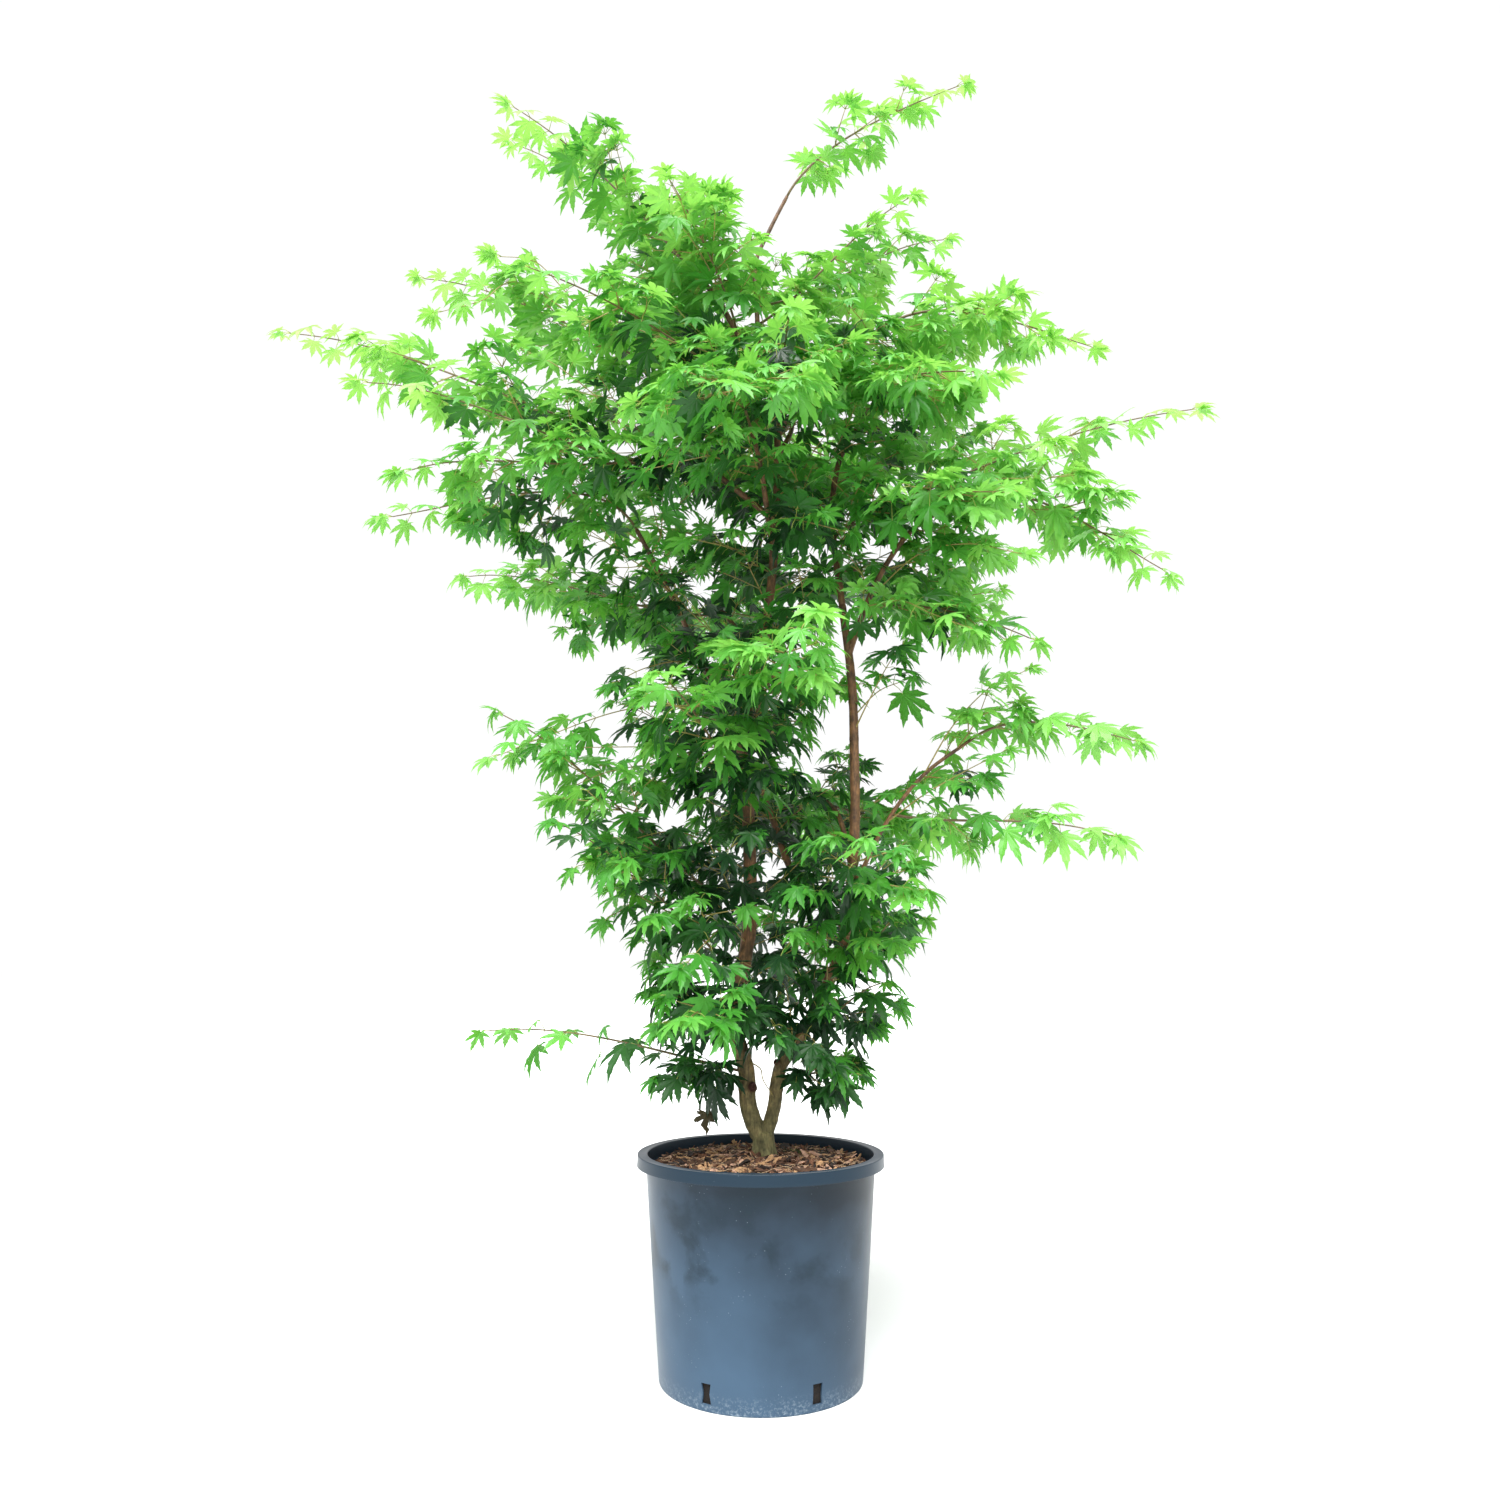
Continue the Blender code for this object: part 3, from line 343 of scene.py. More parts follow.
# The least lightness of every shade but the last
SHADE_STEPS = (0.86, 0.68, 0.53, 0.38, 0.24)
# Heights, each with a lightness: dark by the foot, shaded in the middle, lit at the top
CROWN_LIGHT = ((0.45, -0.02), (0.60, 0.03), (0.75, 0.08), (0.95, 0.18), (1.25, 0.22), (1.50, 0.36),
               (1.70, 0.43), (2.00, 0.36))
# Heights, each with the most that a leaf's lightness may be there
CROWN_PALEST = ((0.45, 0.52), (0.80, 0.80), (1.35, 0.86), (1.36, 2.00))
# Heights, each with the crown's half width, which tells how deep inside it a leaf is
CROWN_WIDTHS = ((0.40, 0.29), (0.60, 0.36), (0.90, 0.46), (1.20, 0.66), (1.50, 0.78), (1.80, 0.60),
                (2.10, 0.45))
# Heights, each with how far to the side the crown's middle lies: to the left, higher up
CROWN_LEAN = ((0.80, 0.0), (1.30, -0.10))
CROWN_TOP = (1.45, 0.90)          # from this height, over this rise, leaves near the top's edge
EDGE_LIMIT = 1.15                 # how far out still counts, over the crown's half width
EDGE_CURVE = 1.6
TONE_RISE = (0.15, 0.60, 0.4)     # sprays differ less low down: from, over, and at least
# Painted light: leaves at the crown's edge and at a twig's end are drawn lighter; those at a twig's end
# are also young and paler
EDGE_LIGHT = 0.55                 # how much lighter a leaf at the crown's edge is than one inside
TIP_LIGHT = 0.22                  # how much lighter the young leaves at a twig's end are
SPRAY_SEED = 1                    # of the first spray, and so on
TWIG_SEED = 101                   # of the first limb's twigs, and so on
THIN_SEED = 77
TONE_SEED = 5
SPRAY_TONE = 0.12                 # how far sprays differ in lightness
LEAF_TONE = 0.05                  # how far the leaves of one spray do

# Thin shoots of their own: host and share of it where they leave, the way they go, where along
# them their pairs of leaves are, the leaves' size against the others', and whether young leaves
# end them
THIN_SHOOTS = (
    ("right_stem", 0.22, ((0.098, -0.030, 0.541), (0.099, -0.046, 0.620), (0.101, -0.060, 0.708)),
     (0.55, 0.72, 0.86), 0.60, True),
    ("right_stem", 0.74, ((0.170, -0.010, 0.975), (0.200, -0.030, 1.030), (0.222, -0.045, 1.060)),
     (0.60, 0.72, 0.84, 0.93), 1.00, True),
    ("right_stem", 0.77, ((0.190, 0.020, 1.000), (0.232, 0.000, 1.014)), (0.80,), 1.25, True),
    ("left_stem", 0.93, ((-0.190, -0.030, 0.962), (-0.325, -0.060, 0.910), (-0.390, -0.070, 0.880)),
     (0.62, 0.70, 0.78, 0.86, 0.94), 1.00, True),
    ("left_stem", 0.83, ((-0.170, -0.030, 0.900), (-0.270, -0.050, 0.895)), (0.82,), 0.70, False),
    ("left_stem", 0.11, ((-0.001, -0.012, 0.421), (0.004, -0.012, 0.404), (0.019, -0.004, 0.380)),
     (), 1.00, False),
    # by the fork, in front
    ("left_stem", 0.17, ((-0.010, -0.050, 0.500), (0.008, -0.085, 0.500), (0.022, -0.105, 0.480)),
     (0.60, 0.80, 0.93), 0.85, True),
    ("right_stem", 0.10, ((0.058, -0.025, 0.468), (0.072, -0.060, 0.468), (0.085, -0.085, 0.450)),
     (0.60, 0.85), 0.80, True),
    ("left_stem", 0.37, ((-0.050, -0.060, 0.625), (-0.075, -0.110, 0.605), (-0.100, -0.150, 0.575)),
     (0.50, 0.70, 0.90), 1.00, True),
    # down the crown's left side
    ("left_stem", 0.38, ((-0.090, -0.020, 0.680), (-0.160, -0.030, 0.680), (-0.215, -0.040, 0.645)),
     (0.50, 0.70, 0.88), 1.00, True),
    ("left_stem", 0.53, ((-0.110, -0.030, 0.765), (-0.190, -0.050, 0.755), (-0.265, -0.060, 0.715)),
     (0.45, 0.60, 0.76, 0.90), 1.05, True),
    ("left_stem", 0.70, ((-0.120, -0.020, 0.870), (-0.220, -0.040, 0.862), (-0.305, -0.050, 0.825)),
     (0.45, 0.62, 0.78, 0.92), 1.00, True),
    ("diagonal_bough", 0.65, ((-0.130, 0.020, 1.050), (-0.180, -0.030, 1.025), (-0.220, -0.060, 0.995)),
     (0.40, 0.60, 0.80, 0.93), 1.00, True),
    ("left_high_bough", 1.00, ((-0.260, -0.050, 1.470), (-0.330, -0.060, 1.525),
                               (-0.385, -0.070, 1.548)), (0.30, 0.48, 0.64, 0.80, 0.93), 1.00, True),
    ("upper_left", 0.45, ((-0.400, -0.020, 1.700), (-0.460, -0.050, 1.648), (-0.520, -0.060, 1.622)),
     (0.40, 0.55, 0.70, 0.85), 1.00, True),
    ("upper_left", 0.45, ((-0.365, 0.020, 1.748), (-0.400, 0.000, 1.760), (-0.440, -0.010, 1.758)),
     (0.45, 0.75), 1.00, True),
    # down its right side
    ("right_low_bough", 0.70, ((0.300, -0.030, 0.935), (0.355, -0.050, 0.990), (0.405, -0.060, 1.012)),
     (0.50, 0.68, 0.85), 1.00, True),
    ("right_low_bough", 0.40, ((0.250, -0.030, 0.825), (0.310, -0.050, 0.858), (0.365, -0.060, 0.885)),
     (0.36, 0.54, 0.72, 0.88), 0.95, True),
    ("right_mid_bough", 0.13, ((0.208, -0.060, 1.125), (0.256, -0.120, 1.085), (0.300, -0.150, 1.055)),
     (0.30, 0.45, 0.60, 0.74, 0.88), 1.00, True),
    ("right_mid_bough", 0.30, ((0.250, -0.050, 1.205), (0.320, -0.095, 1.205), (0.390, -0.120, 1.180)),
     (0.40, 0.60, 0.80, 0.93), 1.00, True),
    # at the top
    ("leader", 0.90, ((-0.090, 0.000, 1.770), (-0.106, -0.010, 1.840), (-0.116, -0.020, 1.878)),
     (0.50, 0.65, 0.80, 0.92), 1.00, True),
)
DRIED_STALK = ((-0.050, -0.018, 0.415), (-0.060, -0.020, 0.400), (-0.070, -0.021, 0.375),
               (-0.080, -0.020, 0.360))
DRIED_STALK_RADIUS = 0.0006
DRIED_LEAF_LENGTH = 0.046

# Lobes of a leaf: direction in degrees, length, half width and number of teeth a side
LEAF_FORMS = (
    ((0, 1.00, 0.142, 2), (37, 0.94, 0.138, 2), (76, 0.74, 0.125, 1), (120, 0.36, 0.095, 0)),
    ((0, 1.00, 0.140, 2), (41, 0.88, 0.130, 2), (84, 0.66, 0.115, 1), (130, 0.28, 0.080, 0)),
    ((0, 1.00, 0.170, 2), (35, 0.96, 0.160, 2), (71, 0.80, 0.145, 1), (110, 0.46, 0.115, 0)),
)
RIB_STOPS = (0.52, 0.74)          # how far out a lobe's rib its faces meet
# How far out each tooth and the notch past it are, with their distance from the rib over the
# lobe's half width
TEETH = (((0.60, 1.00), (0.63, 0.72)), ((0.78, 0.68), (0.80, 0.42)))
SINUS = 0.33                      # how far out the lobes part, over the leaf's length
LEAF_BACK = (155, 0.07)           # where the blade ends beside its stalk
TIP_CURL = (0.60, 0.35)           # from how far out a lobe's tip curls down, and how much
PAIR_TURN = 1.1                   # radians, between one pair of leaves and the next
PAIR_ROLLS = (0.3, 0.5)           # radians, how far pairs stray from that on stems and on shoots
PAIR_ANGLE = math.radians(62)     # between a leaf and its twig
PAIR_SPREAD = (0.75, 1.25)        # least and most, over that angle
SHOOT_ANGLE = math.radians(48)    # between a side shoot and its stem
SHOOT_SPREAD = (0.85, 1.20)
SHOOT_ROLL = 0.55                 # radians, how far a side shoot strays up or down
SHOOT_LEAST = 0.25                # of the shortest, over the longest
SHOOT_SIZES = (0.7, 1.1)
SHOOT_FULLNESS = (2.6, 0.6)       # how fast their length grows and then falls along a stem
SECOND_SHOOT_SPREAD = (0.8, 1.2)
SECOND_SHOOT_SIZES = (0.35, 0.55)    # over the length of the shoot that carries it
TIP_SPREAD = (0.8, 1.2)
TIP_SIZES = (0.75, 1.0)
TIP_SWINGS = (0.0, 0.55, -0.55)   # radians, of the young leaves that end a twig
WHORL = math.radians(137.5)       # from one inner twig to the next, round its limb
INNER_STRAY = (0.2, 0.8)          # where in its stretch of the limb an inner twig leaves
INNER_OUT = 1.2                   # how much it leans out, for every metre from the tree's middle
INNER_UP = 0.35                   # and upwards
INNER_LEAN = 0.6                  # how much of both it takes on
INNER_ANGLES = (45.0, 75.0)       # degrees, between it and its limb
INNER_SIZES = (0.60, 1.35)
STALK_SIZES = (0.6, 1.25)         # the least and most, over the usual length
STALK_TIP_LESS = 0.35             # how much shorter the stalks at a twig's end are
STALK_SAG = 0.12
LEAF_LIFT = 0.25                  # how much a stalk may rise
LEAF_SIZES = (0.72, 1.18)
LEAF_TIP_LESS = 0.25
LEAF_DROOP = (46.0, 24.0, 8.0)    # degrees: of a low leaf, less at the top, and less at a tip
LEAF_DROOP_HEIGHTS = (0.45, 1.45)    # from this height, over this rise
LEAF_DROOP_SPREAD = 17.0
LEAF_DROOP_RANGE = (-8.0, 80.0)
LEAF_ROLL = 0.32                  # radians, how far leaves tilt to one side
# Fold along the ribs, droop of the lobes, twist, and width over the usual: least and most
LEAF_BENDS = ((0.08, 0.42), (0.05, 0.38), (-0.30, 0.30), (0.86, 1.12))

# Stage
CAMERA_PLACE = (-0.0154, -1.6807, 0.5744)
CAMERA_TILT = math.radians(10.99)
SENSOR = 36.0
KEY_FROM = (-0.25, -2.7, 5.2)     # the key light comes from here, far above and in front
KEY_ANGLE = math.radians(50)      # its width seen from the tree, which softens its shadows
SKY_STRENGTH = 1.02
FLOOR_SIZE = 80.0


# ---------------------------------------------------------------- settings


def colour(text):
    """An sRGB hex value as linear red, green, blue and alpha."""
    channels = [int(text[index:index + 2], 16) / 255 for index in (0, 2, 4)]
    linear = [part / 12.92 if part <= 0.04045 else ((part + 0.055) / 1.055) ** 2.4
              for part in channels]
    return (*linear, 1.0)


def dimmed(base, share):
    """A linear colour, darker or lighter by a share."""
    return (*[min(part * share, 1.0) for part in base[:3]], 1.0)


def clamp(value, low, high):
    """The value, or the limit that it is past."""
    return min(max(value, low), high)


def colour_setting(name, description, text):
    return FloatVectorProperty(name=name, description=description, subtype="COLOR", size=4,
                               min=0.0, max=1.0, default=colour(text))


def length_setting(name, description, default):
    return FloatProperty(name=name, description=description, default=default, min=0.0,
                         subtype="DISTANCE", unit="LENGTH", precision=4)


class PotSettings(PropertyGroup):
    """The nursery pot."""
    plastic: colour_setting("Plastic", "Slate blue of the moulded wall", "3a5065")
    # The rim colour is painted shade: the same plastic as the wall, darker as it looks in the crown's
    # shade
    rim: colour_setting("Rim", "Darker plastic of the flange and its skirt", "182936")
    smudge: colour_setting("Smudges", "Damp and rubbed patches on the wall", "14242f")
    dust: colour_setting("Dust", "Dry soil dust and lime specks", "7f8d99")


class MulchSettings(PropertyGroup):
    """Potting soil, with the bark chips, fibres and moss on it."""
    chips: IntProperty(name="Chips", description="Number of bark chips", default=2600, min=10, max=4000)
    chip_length: length_setting("Chip length", "Usual length of a chip", 0.017)
    # The soil colour is partly painted shade: darker, so that the soil seen through the drainage slots
    # looks shaded
    soil: colour_setting("Soil", "Moist peat under the chips", "20160f")
    tan: colour_setting("Tan chips", "Pale, weathered bark", "a9835e")
    russet: colour_setting("Russet chips", "Fresh red-brown bark", "62402b")
    brown: colour_setting("Brown chips", "Damp bark", "4a3120")
    umber: colour_setting("Umber chips", "Wet, nearly black bark", "251812")
    pink: colour_setting("Pink chips", "Dry bark, torn open", "b38d76")
    fibre: colour_setting("Fibres", "Dry fibres of bark and root", "b59a7c")
    moss_dark: colour_setting("Dark moss", "Olive of the moss", "2c3a12")
    moss_light: colour_setting("Light moss", "Yellow-green of the moss", "58702a")


class BarkSettings(PropertyGroup):
    """Bark of the trunk, stems and boughs."""
    relief: length_setting("Relief", "Depth of the bark's lumps", 0.0007)
    old: colour_setting("Old bark", "Grey-green bark at the tree's foot", "6e6a45")
    young: colour_setting("Young bark", "Red-brown bark further up", "785434")
    scar: colour_setting("Scars", "Dark wood of the knot and the cut stub", "3c1d12")


class LeafSettings(PropertyGroup):
    """Twigs and leaves, with each shade's blade and the light that glows through it."""
    leaf_length: length_setting("Leaf length", "From a leaf's palm to its middle tip", LEAF_LENGTH)
    stalk_length: length_setting("Stalk length", "Of a leaf's stalk", STALK_LENGTH)
    node_spacing: length_setting("Node spacing", "Between one pair of leaves and the next",
                                 NODE_SPACING)
    # Each shade's blade and glow are painted light and painted shade: lit and shaded copies of one
    # leaf's colours, dealt out by where a leaf hangs in the crown, with the young leaves at twigs' ends
    # also paler
    lime: colour_setting("Lime", "Youngest leaves, best lit", "8acb58")
    lime_glow: colour_setting("Lime glow", "Light through the lime leaves", "a8e066")
    fresh: colour_setting("Fresh", "Young leaves by the crown's edge", "74be52")
    fresh_glow: colour_setting("Fresh glow", "Light through the fresh leaves", "9cd85c")
    spring: colour_setting("Spring", "Leaves a little further in", "58a840")
    spring_glow: colour_setting("Spring glow", "Light through the spring leaves", "88cc4c")
    mid: colour_setting("Mid", "Full-grown leaves", "3e8e2e")
    mid_glow: colour_setting("Mid glow", "Light through the mid leaves", "6cb63c")
    deep: colour_setting("Deep", "Older leaves inside the crown", "225621")
    deep_glow: colour_setting("Deep glow", "Light through the deep leaves", "3f7f2a")
    shaded: colour_setting("Shaded", "Oldest leaves, low and inside", "13371a")
    shaded_glow: colour_setting("Shaded glow", "Light through the shaded leaves", "245822")
    wood: colour_setting("Young wood", "Stems of the sprays", "6d5a36")
    shoot: colour_setting("Shoots", "Side shoots that are still green", "9a8a4a")
    stalk: colour_setting("Stalks", "Stalks of the leaves", "a9b455")
    dried: colour_setting("Dried leaf", "The dead leaf under the lowest spray", "4a4326")


class StageSettings(PropertyGroup):
    """Floor, light and camera."""
    floor: colour_setting("Floor", "Pale studio floor", "d8dad9")
    key: FloatProperty(name="Key light", description="Strength of the broad light from above",
                       default=7.5, min=0.0, max=50.0)
    lens: FloatProperty(name="Lens", description="Focal length in millimetres on a 36 mm sensor",
                        default=26.2, min=10.0, max=200.0, unit="CAMERA")


SETTINGS = {"maple_pot": PotSettings, "maple_mulch": MulchSettings, "maple_bark": BarkSettings,
            "maple_leaf": LeafSettings, "maple_stage": StageSettings}


# ---------------------------------------------------------------- helpers


def deselect():
    if bpy.context.object and bpy.context.object.mode != "OBJECT":
        bpy.ops.object.mode_set(mode="OBJECT")
    bpy.ops.object.select_all(action="DESELECT")


def make_active(piece):
    deselect()
    piece.select_set(True)
    bpy.context.view_layer.objects.active = piece


def apply_place(piece):
    make_active(piece)
    bpy.ops.object.transform_apply(location=True, rotation=True, scale=True)


def apply_modifiers(piece):
    make_active(piece)
    for modifier in list(piece.modifiers):
        bpy.ops.object.modifier_apply(modifier=modifier.name)


def finish_piece(piece, name, material, slot, *nodes):
    """Name a piece, give it its material, tell the frame what it rides on, and hide the parts that it
    stands for.
    """
    piece.name = name
    piece.data.name = name
    piece.data.materials.clear()
    piece.data.materials.append(material)
    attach(piece, "root")
    if nodes:
        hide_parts(*nodes)


def shade_by_angle(piece, degrees):
    make_active(piece)
    bpy.ops.object.shade_smooth_by_angle(angle=math.radians(degrees))


def set_inputs(tree, node, inputs):
    """Set a node's inputs to values, or link them to a socket or to a node's first open output."""
    for key, value in inputs.items():
        if isinstance(value, bpy.types.Node):
            value = next(output for output in value.outputs if output.enabled)
        if isinstance(value, bpy.types.NodeSocket):
            tree.links.new(value, node.inputs[key])
        else:
            node.inputs[key].default_value = value


def add_node(tree, kind, inputs=None, **settings):
    """Add a node with its settings and its inputs."""
    made = tree.nodes.new(kind)
    for key, value in settings.items():
        setattr(made, key, value)
    set_inputs(tree, made, inputs or {})
    return made


def set_ramp(ramp, *stops):
    """Set the two stops of a colour ramp, each a position and a colour."""
    for element, (position, tone) in zip(ramp.color_ramp.elements, stops):
        element.position = position
        element.color = tone


def new_material(name):
    """A material with its node tree, its shader and a socket with the piece's own coordinates."""
    material = bpy.data.materials.new(name)
    material.use_nodes = True
    tree = material.node_tree
    shader = tree.nodes["Principled BSDF"]
    place = add_node(tree, "ShaderNodeTexCoord").outputs["Object"]
    return material, tree, shader, place


def push_points(piece, shift):
    """Move every point by shift(place, normal), all worked out before anything moves."""
    shifts = [shift(vertex.co, vertex.normal) for vertex in piece.data.vertices]
    for vertex, way in zip(piece.data.vertices, shifts):
        vertex.co += way


def mesh_piece(name, points, corners, sizes):
    """An object whose mesh comes as lists: points, every face's corners in turn, and face sizes."""
    mesh = bpy.data.meshes.new(name)
    mesh.vertices.add(len(points))
    mesh.vertices.foreach_set("co", np.asarray(points, np.float32).ravel())
    mesh.loops.add(len(corners))
    mesh.loops.foreach_set("vertex_index", np.asarray(corners, np.int32))
    mesh.polygons.add(len(sizes))
    starts = np.concatenate(([0], np.cumsum(sizes)[:-1]))
    mesh.polygons.foreach_set("loop_start", starts.astype(np.int32))
    mesh.update(calc_edges=True)
    mesh.validate()
    piece = bpy.data.objects.new(name, mesh)
    bpy.context.scene.collection.objects.link(piece)
    return piece


# ---------------------------------------------------------------- lines and tubes


class Line:
    """A line through points, read by the share of its length."""

    def __init__(self, points):
        self.points = [Vector(point) for point in points]
        self.lengths = [0.0]
        for start, end in zip(self.points, self.points[1:]):
            self.lengths.append(self.lengths[-1] + (end - start).length)
        self.length = self.lengths[-1]

    def span(self, share):
        """The index of the point that ends the stretch in which a share of the length lies."""
        target = share * self.length
        index = 1
        while index < len(self.lengths) - 1 and self.lengths[index] < target:
            index += 1
        return index

    def at(self, share):
        index = self.span(share)
        before = self.lengths[index - 1]
        part = (share * self.length - before) / (self.lengths[index] - before)
        return self.points[index - 1].lerp(self.points[index], part)

    def direction(self, share):
        index = self.span(share)
        return (self.points[index] - self.points[index - 1]).normalized()

    def spaced(self, count):
        """The same line through so many points, evenly spaced."""
        return Line([self.at(index / (count - 1)) for index in range(count)])

    def tapered(self, foot, tip):
        """The radius at each point of the line, from foot to tip."""
        return [foot + (tip - foot) * length / self.length for length in self.lengths]


def smooth(waypoints, before=None):
    """A smooth line through waypoints, which may carry on from a point before the first."""
    samples = 12
    points = [Vector(point) for point in waypoints]
    first = before if before else points[0] * 2 - points[1]
    ends = [first] + points + [points[-1] * 2 - points[-2]]
    line = [points[0]]
    for a, b, c, d in zip(ends, ends[1:], ends[2:], ends[3:]):
        for step in range(1, samples + 1):
            t = step / samples
            line.append(((b * 2) + (c - a) * t + (a * 2 - b * 5 + c * 4 - d) * t ** 2
                         + (b * 3 - a - c * 3 + d) * t ** 3) * 0.5)
    return Line(line)


def arched(start, out, ahead, end):
    """A smooth arch that leaves start along out and comes to end along ahead."""
    samples = 24
    chord = (end - start).length
    bends = (start, start + out * chord * 0.33, end - ahead * chord * 0.33, end)
    points = []
    for step in range(samples + 1):
        t = step / samples
        weights = ((1 - t) ** 3, 3 * t * (1 - t) ** 2, 3 * t * t * (1 - t), t ** 3)
        points.append(sum((bend * weight for bend, weight in zip(bends, weights)), Vector()))
    return Line(points)


class Tubes:
    """Many tapering round tubes, closed at both ends, that are joined into one mesh."""

    def __init__(self, sides):
        self.sides = sides
        self.points = []
        self.corners = []
        self.sizes = []
        angles = [math.tau * side / sides for side in range(sides)]
        self.circle = [(math.cos(angle), math.sin(angle)) for angle in angles]

    def add(self, centres, radii):
        """Add a tube round a line of centres, with a radius at each."""
        first = len(self.points)
        sides = self.sides
        normal = None
        last = len(centres) - 1
        for index, (centre, radius) in enumerate(zip(centres, radii)):
            along = (centres[min(index + 1, last)] - centres[max(index - 1, 0)]).normalized()
            normal = along.orthogonal() if normal is None else normal - along * normal.dot(along)
            normal.normalize()
            across = along.cross(normal)
            self.points += [centre + (normal * x + across * y) * radius for x, y in self.circle]
        for index in range(last):
            low = first + index * sides
            for side in range(sides):
                other = (side + 1) % sides
                self.corners += [low + side, low + other, low + sides + other, low + sides + side]
        self.sizes += [4] * (last * sides)
        self.corners += range(first + sides - 1, first - 1, -1)
        self.corners += range(first + last * sides, first + (last + 1) * sides)
        self.sizes += [sides, sides]

    def piece(self, name):
        return mesh_piece(name, [tuple(point) for point in self.points], self.corners, self.sizes)


# ---------------------------------------------------------------- pot


def wall_radius(height):
    """The pot's outer radius at a height."""
    return POT_BASE_RADIUS + (POT_WALL_TOP_RADIUS - POT_BASE_RADIUS) * height / (POT_HEIGHT - RIM_WALL)


def rounded(radius, height, round_off, start, end):
    """Points of a quarter round in a turned outline, about a centre, between two angles in degrees."""
    steps = 4
    turns = [math.radians(start + (end - start) * step / steps) for step in range(steps + 1)]
    return [(radius + round_off * math.cos(turn), height + round_off * math.sin(turn))
            for turn in turns]


def turned(profile, segments):
    """A closed skin turned about the Z axis: a ring, extruded from one (radius, height) to the next."""
    deselect()
    (radius, height), *rest = profile
    bpy.ops.mesh.primitive_circle_add(vertices=segments, radius=radius, location=(0.0, 0.0, height))
    piece = bpy.context.object
    apply_place(piece)
    bpy.ops.object.mode_set(mode="EDIT")
    bpy.ops.mesh.select_all(action="SELECT")
    for next_radius, next_height in rest:
        bpy.ops.mesh.extrude_region()
        scale = next_radius / radius
        bpy.ops.transform.resize(value=(scale, scale, 1.0), center_override=(0.0, 0.0, 0.0))
        bpy.ops.transform.translate(value=(0.0, 0.0, next_height - height))
        radius, height = next_radius, next_height
    bpy.ops.mesh.select_all(action="SELECT")
    bpy.ops.mesh.fill_holes(sides=0)
    bpy.ops.mesh.select_all(action="SELECT")
    bpy.ops.mesh.normals_make_consistent(inside=False)
    bpy.ops.object.mode_set(mode="OBJECT")
    return piece


def slot_cutter():
    """One cutter with all the drainage slots, each a little narrower half way up."""
    middle = (SLOT_BOTTOM + SLOT_TOP) / 2
    cutters = []
    for index in range(SLOT_COUNT):
        deselect()
        bpy.ops.mesh.primitive_cube_add(size=1.0)
        cutter = bpy.context.object
        cutter.scale = (SLOT_CUT, SLOT_WIDTH, SLOT_TOP - SLOT_BOTTOM)
        cutter.location = (wall_radius(middle) - POT_WALL / 2, 0.0, middle)
        apply_place(cutter)
        bpy.ops.object.mode_set(mode="EDIT")
        bpy.ops.mesh.select_all(action="SELECT")
        bpy.ops.mesh.bisect(plane_co=(0.0, 0.0, middle), plane_no=(0.0, 0.0, 1.0))
        bpy.ops.transform.resize(value=(1.0, SLOT_WAISTS[index], 1.0), center_override=(0.0, 0.0, 0.0))
        bpy.ops.object.mode_set(mode="OBJECT")
        cutter.rotation_euler.z = math.tau * index / SLOT_COUNT
        apply_place(cutter)
        cutters.append(cutter)
    deselect()
    for cutter in cutters:
        cutter.select_set(True)
    bpy.context.view_layer.objects.active = cutters[0]
    bpy.ops.object.join()
    return bpy.context.object


